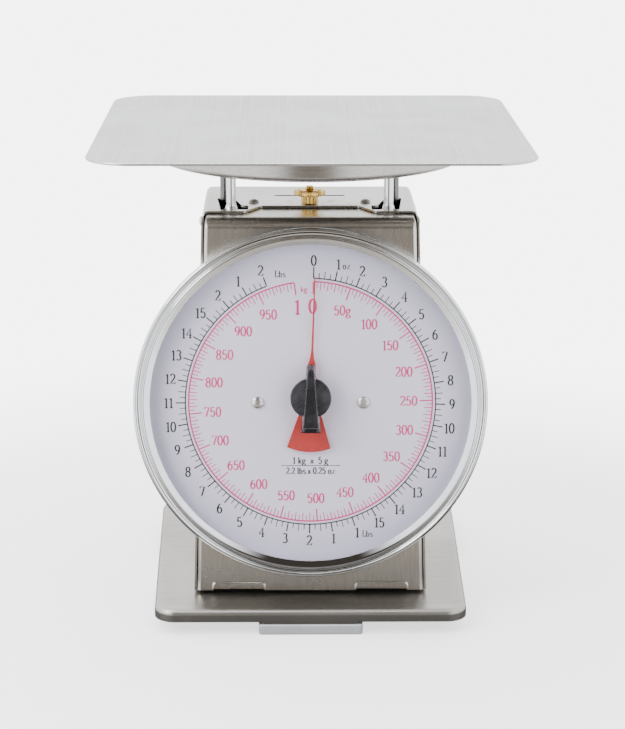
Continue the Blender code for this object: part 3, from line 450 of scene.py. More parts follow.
@dataclass(frozen=True)
class SatinSheet(Finish):
    """Brushed stainless sheet, with fine lines, long streaks and faint handling marks."""

    grain: Grain = Grain.FRONT_TO_BACK
    light: Colour = (0.66, 0.65, 0.625)
    dark: Colour = (0.58, 0.565, 0.535)
    roughness: float = 0.3
    line_depth: float = 3e-6

    def build(self, graph: Graph) -> bpy.types.Material:
        """Fills the graph."""
        across = self.grain.value
        fine = graph.noise(graph.mapped([7000 * s for s in across]), detail=2)
        streak = graph.noise(graph.mapped([900 * s for s in across]), detail=4)
        cloud = graph.speckle(22, detail=4)
        marks = graph.speckle(95, detail=6, rough=0.7)
        tone = graph.math("MULTIPLY_ADD", streak, 0.65)
        graph.links.new(graph.ranged(cloud, 0.3, 0.7, 0.0, 0.16), tone.node.inputs[2])
        graph.feed("Base Color", graph.blended(graph.ranged(tone, 0.26, 0.6, 0, 1), self.light, self.dark))
        worn = graph.ranged(marks, 0.56, 0.72, 0.0, 0.05)
        base = graph.ranged(cloud, 0.3, 0.7, self.roughness - 0.025, self.roughness + 0.035)
        graph.feed("Roughness", graph.math("ADD", base, worn))
        relief = graph.bump(fine, self.line_depth)
        graph.feed("Normal", graph.bump(cloud, 1.6e-5, relief))
        graph.set(Metallic=1.0)
        return graph.material


@dataclass(frozen=True)
class BrightPlate(Finish):
    """Polished plating with hairline wiping marks and a faint haze."""

    colour: Colour = (0.80, 0.81, 0.82)
    roughness: float = 0.05

    def build(self, graph: Graph) -> bpy.types.Material:
        """Fills the graph."""
        haze = graph.speckle(60, detail=5, rough=0.65)
        hair = graph.noise(graph.mapped((4000, 900, 900), turn=(0.3, 0.5, 0.9)), detail=2)
        tone = graph.ranged(haze, 0.35, 0.7, 0, 1)
        duller = tuple(0.93 * part for part in self.colour)
        graph.feed("Base Color", graph.blended(tone, self.colour, duller))
        graph.feed("Roughness", graph.ranged(haze, 0.35, 0.75, self.roughness * 0.7, self.roughness * 1.7))
        graph.feed("Normal", graph.bump(hair, 2.5e-7))
        graph.set(Metallic=1.0)
        return graph.material


@dataclass(frozen=True)
class TurnedBrass(Finish):
    """Machined brass with tool rings and a little tarnish in random patches."""

    def build(self, graph: Graph) -> bpy.types.Material:
        """Fills the graph."""
        rings = graph.nodes.new("ShaderNodeTexWave")
        rings.wave_type = "RINGS"
        rings.rings_direction = "Z"
        rings.inputs["Scale"].default_value = 900
        rings.inputs["Distortion"].default_value = 0.6
        graph.links.new(graph.place, rings.inputs["Vector"])
        tarnish = graph.speckle(420, detail=5, rough=0.65)
        tone = graph.ranged(tarnish, 0.4, 0.75, 0, 1)
        graph.feed("Base Color", graph.blended(tone, (0.86, 0.58, 0.19), (0.60, 0.36, 0.09)))
        graph.feed("Roughness", graph.ranged(tarnish, 0.3, 0.8, 0.16, 0.36))
        graph.feed("Normal", graph.bump(rings.outputs["Fac"], 2e-6))
        graph.set(Metallic=1.0)
        return graph.material


@dataclass(frozen=True)
class Moulding(Finish):
    """Moulded plastic or rubber with a fine grain and rubbed patches."""

    colour: Colour = (0.012, 0.012, 0.014)
    worn: Colour = (0.03, 0.03, 0.034)
    roughness: float = 0.32
    coat: float = 0.0

    def build(self, graph: Graph) -> bpy.types.Material:
        """Fills the graph."""
        grain = graph.speckle(2600, detail=2)
        rub = graph.speckle(130, detail=5, rough=0.65)
        tone = graph.ranged(rub, 0.42, 0.72, 0, 1)
        graph.feed("Base Color", graph.blended(tone, self.colour, self.worn))
        graph.feed("Roughness", graph.ranged(rub, 0.35, 0.75, self.roughness - 0.05, self.roughness + 0.08))
        graph.feed("Normal", graph.bump(grain, 4e-6))
        graph.set(Coat_Weight=self.coat, Coat_Roughness=0.12)
        return graph.material


@dataclass(frozen=True)
class PrintedCard(Finish):
    """Smooth lavender card, darkened towards its rim by painted shade from the bezel."""

    centre: tuple[float, float, float] = (0.0, 0.0, 0.0)

    def build(self, graph: Graph) -> bpy.types.Material:
        """Fills the graph."""
        fibre = graph.speckle(1500, detail=4, rough=0.7)
        cloud = graph.speckle(14, detail=2)
        distance = graph.nodes.new("ShaderNodeVectorMath")
        distance.operation = "DISTANCE"
        distance.inputs[1].default_value = self.centre
        graph.links.new(graph.place, distance.inputs[0])
        # Painted shade: the card darkens towards its rim as if shaded by the bezel; the cloud added next is
        # the card's own uneven tone.
        rim = graph.ranged(distance.outputs["Value"], 0.052, 0.078, 0.0, 0.75)
        tone = graph.math("ADD", rim, graph.ranged(cloud, 0.3, 0.7, 0.0, 0.12))
        paper_with_painted_rim_shade = graph.blended(tone, (0.90, 0.84, 0.98), (0.60, 0.575, 0.74))
        graph.feed("Base Color", paper_with_painted_rim_shade)
        graph.feed("Roughness", graph.ranged(fibre, 0.3, 0.7, 0.42, 0.52))
        graph.feed("Normal", graph.bump(fibre, 3e-6))
        return graph.material


@dataclass(frozen=True)
class Paint(Finish):
    """Ink or paint with a slightly uneven film."""

    colour: Colour = (0.74, 0.018, 0.19)
    thin: Colour = (0.78, 0.03, 0.22)
    roughness: float = 0.42

    def build(self, graph: Graph) -> bpy.types.Material:
        """Fills the graph."""
        film = graph.speckle(900, detail=4, rough=0.6)
        graph.feed("Base Color", graph.blended(graph.ranged(film, 0.4, 0.75, 0, 1), self.colour, self.thin))
        graph.feed("Roughness", graph.ranged(film, 0.3, 0.7, self.roughness - 0.05, self.roughness + 0.07))
        graph.feed("Normal", graph.bump(film, 1.5e-6))
        return graph.material


@dataclass(frozen=True)
class ClearLens(Finish):
    """Clear acrylic: a faint pale film that is painted reflection haze, and a sharp gloss, with a few wiping
    marks.
    """

    # Share of the pale lavender film over the dial: painted reflection haze.
    veil: float = 0.02

    def build(self, graph: Graph) -> bpy.types.Material:
        """Fills the graph."""
        wipe = graph.noise(graph.mapped((40, 40, 160), turn=(0.2, 0, 0.6)), detail=5, rough=0.65)
        # The pale lavender film shown at this alpha is painted reflection haze.
        graph.set(Base_Color=(0.86, 0.85, 0.93), Alpha=self.veil, IOR=1.49)
        graph.feed("Roughness", graph.ranged(wipe, 0.4, 0.75, 0.03, 0.12))
        return graph.material


STEEL_UPRIGHT = SatinSheet(Grain.UPRIGHT, (0.62, 0.59, 0.54), (0.53, 0.50, 0.45), 0.26)
STEEL_TOP = SatinSheet(Grain.FRONT_TO_BACK, (0.68, 0.665, 0.64), (0.56, 0.545, 0.52), 0.34)
STEEL_BASE = SatinSheet(Grain.ACROSS, (0.44, 0.415, 0.38), (0.36, 0.335, 0.30), 0.36)
# Painted shade: a darker copy of the satin stainless for the dish, which sits in shade under the platform
# and reflects the dim floor.
DISH_STEEL_IN_PAINTED_SHADE = SatinSheet(Grain.ACROSS, (0.46, 0.44, 0.41), (0.38, 0.36, 0.33), 0.26)
STEEL_PLAIN = SatinSheet(Grain.ACROSS, (0.62, 0.61, 0.585), (0.5, 0.49, 0.46), 0.36)
CHROME = BrightPlate((0.80, 0.805, 0.81), 0.04)
# Painted shade: a darkened copy of the plating, for the rear pillars that sit in shade.
PLATE_IN_PAINTED_SHADE = BrightPlate((0.16, 0.155, 0.15), 0.14)
PLATED_SCREW = BrightPlate((0.74, 0.72, 0.68), 0.3)
BRASS = TurnedBrass()
BLACK = Moulding((0.010, 0.010, 0.012), (0.022, 0.022, 0.026), 0.26, 0.3)
# Painted sheen: the knob disc's black plastic made greyer to stand in for its sheen; the rubbed patches are
# wear.
KNOB_PLASTIC_PAINTED_SHEEN = Moulding((0.035, 0.036, 0.042), (0.07, 0.072, 0.08), 0.3, 0.4)
FOOT_GREY = Moulding((0.62, 0.64, 0.655), (0.55, 0.565, 0.58), 0.42)
RED = Paint((0.50, 0.016, 0.010), (0.56, 0.03, 0.02), 0.35)
INK_RED = Paint()
INK_BLACK = Paint((0.012, 0.012, 0.016), (0.022, 0.022, 0.028), 0.5)
WIRE = BrightPlate((0.5, 0.5, 0.49), 0.22)


# ---------------------------------------------------------------- fitting pieces to the frame


def fit(
    name: str,
    solid: Solid,
    finish: Finish,
    body: str,
    replaces: Sequence[str] = (),
    place: Matrix = Matrix.Identity(4),
    angle: float = 32.0,
) -> bpy.types.Object:
    """Makes a piece from a solid, parents it to its body and hides the CAD nodes it replaces.

    Args:
        name: The piece's name.
        solid: Its shape in millimetres.
        finish: What it is made of.
        body: The body it rides on.
        replaces: CAD nodes it stands for.
        place: Where the solid's own axes lie, in millimetres.
        angle: Edges that turn more than this many degrees stay sharp.

    Returns:
        The object, untransformed, with its place in its mesh.
    """
    bm = solid.bm
    bmesh.ops.transform(bm, matrix=Matrix.Scale(MM, 4) @ place, verts=bm.verts)
    mesh = bpy.data.meshes.new(name)
    bm.to_mesh(mesh)
    bm.free()
    mesh.shade_smooth()
    mesh.set_sharp_from_angle(angle=math.radians(angle))
    mesh.materials.clear()
    mesh.materials.append(finish.material())
    piece = bpy.data.objects.new(name, mesh)
    bpy.context.scene.collection.objects.link(piece)
    weighted = piece.modifiers.new("even_normals", "WEIGHTED_NORMAL")
    weighted.keep_sharp = True
    weighted.weight = 80
    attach(piece, body)
    if replaces:
        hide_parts(*replaces)
    log.info("%s: %d faces on %s", name, len(mesh.polygons), body)
    return piece


def dress(nodes: Iterable[str], finish: Finish) -> None:
    """Gives CAD nodes that keep their shape a finish."""
    for name in nodes:
        obj = frame["nodes"][name]
        obj.data.materials.clear()
        obj.data.materials.append(finish.material())
        log.info("%s keeps its shape", name)


def span(node: str) -> tuple[Vector, Vector]:
    """A CAD node's lowest and highest corners in millimetres."""
    low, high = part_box(node)
    return low / MM, high / MM


def joint(name: str) -> dict:
    """A joint of the frame by name."""
    return next(entry for entry in frame["joints"] if entry["name"] == name)


@dataclass
class DialAxes:
    """The dial's tilted axes: X right, Y up its face, Z out of it."""

    rise: float = 3.5

    def __post_init__(self) -> None:
        """Reads the pivot and the tilt from the frame's own joint."""
        turn = joint("pinion_turn")
        out = Vector(turn["axis"]).normalized()
        right = Vector((1, 0, 0))
        up = out.cross(right)
        self.pivot_point = Vector(turn["pos_m"]) / MM
        self.centre_point = self.pivot_point - up * self.rise
        self.turned = Matrix((right, up, out)).transposed().to_4x4()

    @property
    def centre(self) -> Matrix:
        """Place of a shape drawn about the dial's centre."""
        return Matrix.Translation(self.centre_point) @ self.turned

    @property
    def pivot(self) -> Matrix:
        """Place of a shape drawn about the pointer's shaft."""
        return Matrix.Translation(self.pivot_point) @ self.turned


# ---------------------------------------------------------------- load plate


@dataclass
class LoadPlate:
    """The square platform, the dish welded under it and the four plated pillars."""

    corner: float = 20.0
    edge: float = 0.45
    dish_edge: float = 3.4
    dish_wall: float = 1.0
    collar: Sequence[Point] = ((0.0, -4.6), (1.5, -4.1), (1.15, -2.4), (0.35, -0.8), (0.0, 0.4))
    collar_top: float = 194.5

    def build(self) -> None:
        """Builds and dresses the whole sub-assembly."""
        self.platform()
        self.dish()
        for node in ("pillar_front_left", "pillar_front_right", "pillar_rear_left", "pillar_rear_right"):
            self.pillar(node)

    def platform(self) -> None:
        """The flat square sheet with round corners and broken edges."""
        low, high = span("platform")
        corners = [(low.x, low.y), (high.x, low.y), (high.x, high.y), (low.x, high.y)]
        outline = filleted([(x, y, self.corner) for x, y in corners], steps=20)
        sheet = Solid.slab(outline, low.z, high.z).softened(is_sharp(60), self.edge, 3)
        fit("platform_sheet", sheet, STEEL_TOP, "carrier", ["platform"])

    def dish(self) -> None:
        """The shallow spun dish that stiffens the platform."""
        low, high = span("platform_dish")
        radius, wall, edge = high.x, self.dish_wall, self.dish_edge
        outer = [
            (0, low.z, 0), (radius - 12, low.z, 10), (radius - 1.2, low.z + 0.9, edge), (radius, high.z, 0),
        ]
        inner = [
            (radius - wall, high.z, 0), (radius - wall - 1.2, low.z + wall + 0.9, edge - wall),
            (radius - 12, low.z + wall, 9), (0, low.z + wall, 0),
        ]
        profile = filleted(outer, 8, closed=False) + filleted(inner, 8, closed=False)
        dish = Solid.turned(profile, 180, ring=False)
        # The dish's darker steel is painted shade.
        fit("spun_dish", dish, DISH_STEEL_IN_PAINTED_SHADE, "carrier", ["platform_dish"])

    def pillar(self, node: str) -> None:
        """One pillar; the front ones have a flared collar at the case's top, the rear ones a darker plating
        that is painted shade.
        """
        low, high = span(node)
        middle = (low + high) / 2
        radius = 2.3
        profile: list[Point] = [(0, low.z), (radius, low.z)]
        if "front" in node:
            profile += [(radius + flare, self.collar_top + rise) for flare, rise in self.collar]
        soft = 0.3
        profile += [(radius, high.z - soft), (radius - soft, high.z), (0, high.z)]
        rod = Solid.turned(profile, 48, ring=False)
        place = Matrix.Translation((middle.x, middle.y, 0))
        # The rear pillars' darker plating is painted shade.
        finish = CHROME if "front" in node else PLATE_IN_PAINTED_SHADE
        fit(f"plated_{node}", rod, finish, "carrier", [node], place)


# ---------------------------------------------------------------- case


@dataclass
class Case:
    """The front panel with its flanges, the cover with the top plate, and the case's screws."""

    top: float = 193.5
    bottom: float = 13.0
    half_top: float = 50.0
    half_bottom: float = 54.8
    rear: float = 45.0
    cover_wall: float = 1.0
    shell_wall: float = 0.9
    shell_depth: float = 37.0
    roll: float = 5.0
    side_roll: float = 2.0
    cover_roll: float = 3.0
    tilt: float = math.radians(6)
    dial_y: float = -47.0
    dial_height: float = 107.0
    panel_back: float = 7.0
    setback: float = 1.2
    ear: float = 4.0
    plate_front: float = -19.0
    recess_front: float = -6.0
    recess_half: float = 23.5
    tongue_half: float = 28.9
    arch_in: float = 21.5
    arch_out: float = 47.5
    arch_tall: float = 5.0
    arch_proud: float = 1.15
    arch_roll: float = 0.95
    behind_card: Point = (-12.0, -5.0)
    stud_hole: float = 2.6
    bush_hole: float = 3.7
    grip_hole: float = 1.4
    slot_half: float = 17.5
    slot_y: Point = (17.8, 20.2)
    slot_round: float = 1.1
    slit_x: Point = (8.5, 11.5)
    slit_y: Point = (4.4, 5.2)
    reach: float = 70.0
    rear_screws: Sequence[float] = (110.0, 140.0)
    top_screw: Point = (27.0, 2.5)
    side_screw: Point = (-6.0, 186.0)
    segments: int = 7

    def face_y(self, z: float) -> float:
        """Y of the front panel's face at a height."""
        face_y = self.dial_y + self.panel_back * math.cos(self.tilt)
        face_z = self.dial_height - self.panel_back * math.sin(self.tilt)
        return face_y + (z - face_z) * math.tan(self.tilt)

    def half(self, z: float) -> float:
        """Half width of the front panel at a height."""
        share = (self.top - z) / (self.top - self.bottom)
        return self.half_top + (self.half_bottom - self.half_top) * share

    def build(self, axes: DialAxes) -> None:
        """Builds and dresses the whole sub-assembly."""
        self.front(axes)
        self.cover()
        self.screws()

    def folded(
        self,
        top: float,
        extra: float,
        forward: float,
        rear: Callable[[float], float],
        open_sides: Sequence[Sequence[float]],
        rolls: Sequence[tuple[float, Callable]],
        wall: float,
    ) -> Solid:
        """A folded sheet box that follows the case's taper.

        Args:
            top: Height of its upper face.
            extra: How far its sides stand outside the front panel's.
            forward: How far its front edge lies behind the panel's face.
            rear: Y of its rear edge at a height.
            open_sides: Normals of the sides it hasn't got.
            rolls: Bend radii and the tests for the edges that they round.
            wall: Sheet thickness, laid inwards.

        Returns:
            The closed sheet.
        """
        solid = Solid()
        bm = solid.bm
        bmesh.ops.create_cube(bm, size=2.0)
        for vert in bm.verts:
            side, back, up = vert.co
            z = top if up > 0 else self.bottom
            y = rear(z) if back > 0 else self.face_y(z) + forward
            vert.co = (math.copysign(self.half(z) + extra, side), y, z)
        bm.normal_update()
        gone = [f for f in bm.faces if any(f.normal.dot(Vector(side)) > 0.9 for side in open_sides)]
        bmesh.ops.delete(bm, geom=gone, context="FACES")
        for radius, wanted in rolls:
            solid.softened(wanted, radius, self.segments)
        bmesh.ops.recalc_face_normals(bm, faces=bm.faces)
        return solid.thickened(wall, even=True)

    def front(self, axes: DialAxes) -> None:
        """The front panel, its flanges, its top tongue and the two arches pressed in its lower edge."""
        forward, back, up, down = (0, -1, 0), (0, 1, 0), (0, 0, 1), (0, 0, -1)

        def sides(edge: bmesh.types.BMEdge) -> bool:
            faces = edge.link_faces
            return len(faces) == 2 and any(abs(f.normal.x) > 0.9 for f in faces)

        top = self.top - self.cover_wall - GAP
        shell = self.folded(
            top, 0, 0, lambda z: self.face_y(z) + self.shell_depth, (back, down),
            [(self.roll, between(forward, up)), (self.side_roll, sides)], self.shell_wall,
        )
        cutters = []
        low, high = top - 3, top + 3
        for side in Side:
            near, far = sorted((side.value * self.tongue_half, side.value * (self.half_top - 3)))
            cutters.append(Solid.block((near, self.plate_front + 1.5, low), (far, 20, high)))
            cutters.append(Solid.hole(self.grip_hole, low, high, side.at(*self.top_screw)))
            screw = Solid.hole(SCREW_HOLE, *self.behind_card, side.at(DIAL_SCREW_X, 0))
            cutters.append(screw.moved(axes.centre))
        cutters.append(Solid.hole(self.stud_hole, low, high))
        cutters.append(Solid.hole(self.bush_hole, *self.behind_card).moved(axes.pivot))
        across = Matrix.Translation((0, *self.side_screw)) @ Matrix.Rotation(math.pi / 2, 4, "Y")
        cutters.append(Solid.hole(SCREW_HOLE, -self.reach, self.reach).moved(across))
        shell.minus(*cutters)
        self.press_arches(shell, axes)
        fit("front_panel", shell, STEEL_UPRIGHT, "root", ["front_shell"], angle=28)

    def press_arches(self, shell: Solid, axes: DialAxes) -> None:
        """Presses an arch forward on each side of the panel's lower edge."""
        foot = (self.bottom - axes.centre_point.z) / math.cos(self.tilt)
        face = -self.panel_back

        def proud(edge: bmesh.types.BMEdge) -> bool:
            return all(v.co.z > face + 0.5 for v in edge.verts) and is_sharp(60)(edge)

        for side in Side:
            inner, outer = side.value * self.arch_in, side.value * self.arch_out
            floor = foot + 1.4
            corners = [
                (inner, floor, 0.0), (outer, floor, 0.0), (outer, foot + self.arch_tall, 3.4),
                (inner, foot + self.arch_tall, 3.4),
            ]
            pad = Solid.slab(filleted(corners, 8), face - 0.5, face + self.arch_proud)
            pad.softened(proud, self.arch_roll, 5)
            near, far = sorted((inner, outer))
            notch = Solid.block((near + 0.8, foot - 3, face - 3), (far - 0.8, floor, face + 3))
            shell.plus(pad.moved(axes.centre))
            shell.minus(notch.moved(axes.centre))

    def opening(self, side: Side) -> list[Point]:
        """The angular hole in the top plate that one side's pillars pass through."""
        front, rear = (37.7, -7.5), (41.2, 8.5)
        outline = [
            (rear[0] + 3.8, rear[1] + 3.5), (rear[0] - 3.4, rear[1] + 3.5), (front[0] - 2.6, rear[1] - 4),
            (front[0] - 4.7, front[1] + 2.8), (self.tongue_half + 0.5, front[1] + 1.5),
            (self.tongue_half + 0.5, front[1] - 8), (front[0] + 4.9, front[1] - 8),
        ]
        return [(side.value * x, y) for x, y in outline]

    def cover(self) -> None:
        """The cover: rear, sides and the pierced top plate."""
        forward, down = (0, -1, 0), (0, 0, -1)

        def bends(edge: bmesh.types.BMEdge) -> bool:
            faces = edge.link_faces
            return len(faces) == 2 and edge.calc_face_angle(0) > 0.5

        cover = self.folded(
            self.top, self.cover_wall + GAP, self.setback, lambda z: self.rear, (forward, down),
            [(self.cover_roll, bends)], self.cover_wall,
        )
        low, high = self.top - 2.5, self.top + 2
        side, notch = self.half_top + GAP / 2, self.recess_half + 7.5
        recess = [
            (-side, -70, 0), (side, -70, 0), (side, self.plate_front, 0), (notch, self.plate_front, 1.2),
            (self.recess_half, self.recess_front, 1.2), (-self.recess_half, self.recess_front, 1.2),
            (-notch, self.plate_front, 1.2), (-side, self.plate_front, 0),
        ]
        front = self.face_y(self.top) + self.setback
        ear = [
            (front - 2, self.top - self.ear - 2),
            (front + self.ear + 2, self.top + 2),
            (front - 2, self.top + 2),
        ]
        corners = [(-1, 0), (1, 0), (1, 1), (-1, 1)]
        slot = filleted([(x * self.slot_half, self.slot_y[k], self.slot_round) for x, k in corners], 5)
        upright = Matrix(((0, 0, 1, 0), (1, 0, 0, 0), (0, 1, 0, 0), (0, 0, 0, 1)))
        across = Matrix.Translation((0, *self.side_screw)) @ Matrix.Rotation(math.pi / 2, 4, "Y")
        cutters = [
            Solid.slab(ear, -self.reach, self.reach).moved(upright),
            Solid.slab(filleted(recess, 5), low, high),
            Solid.hole(self.stud_hole, low, high),
            Solid.slab(slot, low, high),
            Solid.hole(SCREW_HOLE, -self.reach, self.reach).moved(across),
        ]
        for way in Side:
            near, far = sorted(way.value * x for x in self.slit_x)
            cutters.append(Solid.slab(self.opening(way), low, high))
            cutters.append(Solid.hole(SCREW_HOLE, low, high, way.at(*self.top_screw)))
            cutters.append(Solid.block((near, self.slit_y[0], low), (far, self.slit_y[1], high)))
        for z in self.rear_screws:
            turn = Matrix.Translation((0, self.rear, z)) @ Matrix.Rotation(math.pi / 2, 4, "X")
            cutters.append(Solid.hole(SCREW_HOLE, -6, 6).moved(turn))
        cover.minus(*cutters)
        fit("case_cover", cover, STEEL_UPRIGHT, "root", ["rear_cover"], angle=28)

    def screws(self) -> None:
        """The cross-head screws on the case's top, sides and rear."""
        y, z = self.side_screw
        outside = self.half(z) + self.cover_wall + 2 * GAP
        for side in Side:
            place = Matrix.Translation(side.at(*self.top_screw, self.top + GAP))
            CrossScrew(2.7, 1.2, 5.0, 1.1).make(f"top_screw_{side.word}", place)
            turn = Matrix.Rotation(side.value * math.pi / 2, 4, "Y")
            place = Matrix.Translation(side.at(outside, y, z)) @ turn
            CrossScrew(2.5, 1.5, 4.0).make(f"side_screw_{side.word}", place)
            under = Matrix.Translation(side.at(*BASE_SCREW)) @ Matrix.Rotation(math.pi, 4, "X")
            CrossScrew(3.2, 1.6, 5.0).make(f"base_screw_{side.word}", under)
        turn = Matrix.Rotation(-math.pi / 2, 4, "X")
        for word, height in zip(("upper", "lower"), reversed(self.rear_screws)):
            place = Matrix.Translation((0, self.rear + GAP, height)) @ turn
            CrossScrew(3.0, 1.5, 5.0).make(f"rear_screw_{word}", place)


@dataclass
class CrossScrew:
    """A domed screw with a cross recess, head up, its underside at height 0."""

    head: float
    tall: float
    length: float
    radius: float = 1.3
    recess_half: float = 0.28

    def make(self, node: str, place: Matrix) -> None:
        """Builds the screw in place of its CAD node."""
        dome = arc((0, 0), (self.head, self.tall), 12, 90, 9)
        profile = [(0, -self.length), (self.radius - 0.25, -self.length), (self.radius, 0.3 - self.length),
                   (self.radius, 0), (self.head - 0.15, 0), *dome[:-1], (0, self.tall)]
        screw = Solid.turned(profile, 40, ring=False)
        reach, deep = self.head * 0.55, self.tall * 0.35
        first = Solid.block((-reach, -self.recess_half, deep), (reach, self.recess_half, self.tall + 1))
        second = Solid.block((-self.recess_half, -reach, deep), (self.recess_half, reach, self.tall + 1))
        screw.minus(first, second).moved(Matrix.Rotation(0.5, 4, "Z"))
        fit(f"{node}_crosshead", screw, PLATED_SCREW, "root", [node], place)


# ---------------------------------------------------------------- base


@dataclass
class PressedBase:
    """The flat pressed base with its raised border, four tabs and four plastic feet."""

    top: float = 12.0
    rim: float = 5.7
    wall: float = 1.2
    front: float = -73.5
    rear: float = 85.0
    half_front: float = 74.2
    half_rear: float = 78.4
    corner: float = 10.0
    edge: float = 2.5
    border: float = 7.5
    sunk: float = 0.5
    tab_half: float = 22.5
    tab_drop: float = 1.0
    foot_half: float = 24.7
    foot_deep: float = 11.0
    foot_tall: float = 5.0

    def build(self) -> None:
        """Builds and dresses the whole sub-assembly."""
        self.pan()
        for node in ("foot_front", "foot_rear", "foot_left", "foot_right"):
            self.foot(node)
        dress(("base_bracket_left", "base_bracket_right"), STEEL_PLAIN)

    def places(self) -> dict[str, Matrix]:
        """For each foot, where its own axes lie: X along the rim and Y inwards."""
        middle, half = (self.front + self.rear) / 2, (self.half_front + self.half_rear) / 2
        slope = math.atan((self.half_rear - self.half_front) / (self.rear - self.front))
        turns = {
            "foot_front": (0.0, (0, self.front, 0)),
            "foot_right": (math.pi / 2 - slope, (half, middle, 0)),
            "foot_rear": (math.pi, (0, self.rear, 0)),
            "foot_left": (-math.pi / 2 + slope, (-half, middle, 0)),
        }
        return {
            node: Matrix.Translation(point) @ Matrix.Rotation(turn, 4, "Z")
            for node, (turn, point) in turns.items()
        }

    def pan(self) -> None:
        """The pan: a rounded border round a slightly sunk middle, folded down at the rim."""
        corners = [
            (-self.half_front, self.front, self.corner), (self.half_front, self.front, self.corner),
            (self.half_rear, self.rear, self.corner), (-self.half_rear, self.rear, self.corner),
        ]
        solid = Solid()
        bm = solid.bm
        face = bm.faces.new([bm.verts.new((x, y, self.top)) for x, y in filleted(corners, 14)])
        walls = bmesh.ops.extrude_edge_only(bm, edges=list(face.edges))["geom"]
        low = [item for item in walls if isinstance(item, bmesh.types.BMVert)]
        bmesh.ops.translate(bm, vec=(0, 0, -self.rim), verts=low)
        crest = [e for e in bm.edges if all(v.co.z > self.top - MERGE for v in e.verts)]
        bmesh.ops.bevel(
            bm, geom=crest, offset=self.edge, segments=8, profile=0.5, affect="EDGES", material=-1
        )
        bm.normal_update()
        flat = max(bm.faces, key=lambda f: f.calc_area())
        steps = 6
        for k in range(steps):
            share = [0.5 - 0.5 * math.cos(math.pi * j / steps) for j in (k, k + 1)]
            sink = (share[1] - share[0]) * self.sunk
            bmesh.ops.inset_region(
                bm, faces=[flat], thickness=self.border / steps, depth=-sink, use_even_offset=True
            )
        bmesh.ops.recalc_face_normals(bm, faces=bm.faces)
        solid.thickened(self.wall, even=False)
        tab_low = self.top - self.rim - self.tab_drop
        tabs = []
        for place in self.places().values():
            near, far = 0.15, self.wall - 0.15
            tab = Solid.block((-self.tab_half, near, tab_low), (self.tab_half, far, tab_low + 2.5))
            upright = between((0, 0, -1), (1, 0, 0)), between((0, 0, -1), (-1, 0, 0))
            tab.softened(lambda edge: upright[0](edge) or upright[1](edge), 0.8, 4)
            tabs.append(tab.moved(place))
        solid.plus(*tabs)
        low, high = self.top - 3, self.top + 3
        solid.minus(*(Solid.hole(SCREW_HOLE, low, high, side.at(*BASE_SCREW[:2])) for side in Side))
        fit("pressed_pan", solid, STEEL_BASE, "root", ["base_pan"], angle=40)

    def foot(self, node: str) -> None:
        """One moulded foot bar with soft edges and the block that holds it behind the rim."""
        bar = Solid.block((-self.foot_half, -0.6, 0), (self.foot_half, self.foot_deep, self.foot_tall))
        bar.softened(lambda edge: abs((edge.verts[0].co - edge.verts[1].co).normalized().z) > 0.9, 1.6, 5)
        bar.softened(is_sharp(60), 0.7, 3)
        block = Solid.block((1 - self.tab_half, self.wall + 0.7, self.foot_tall - 1),
                            (self.tab_half - 1, self.foot_deep - 3, self.top - self.wall - 0.3 - self.sunk))
        place = self.places()[node]
        fit(f"moulded_{node}", bar.plus(block), FOOT_GREY, "root", [node], place)


# ---------------------------------------------------------------- dial


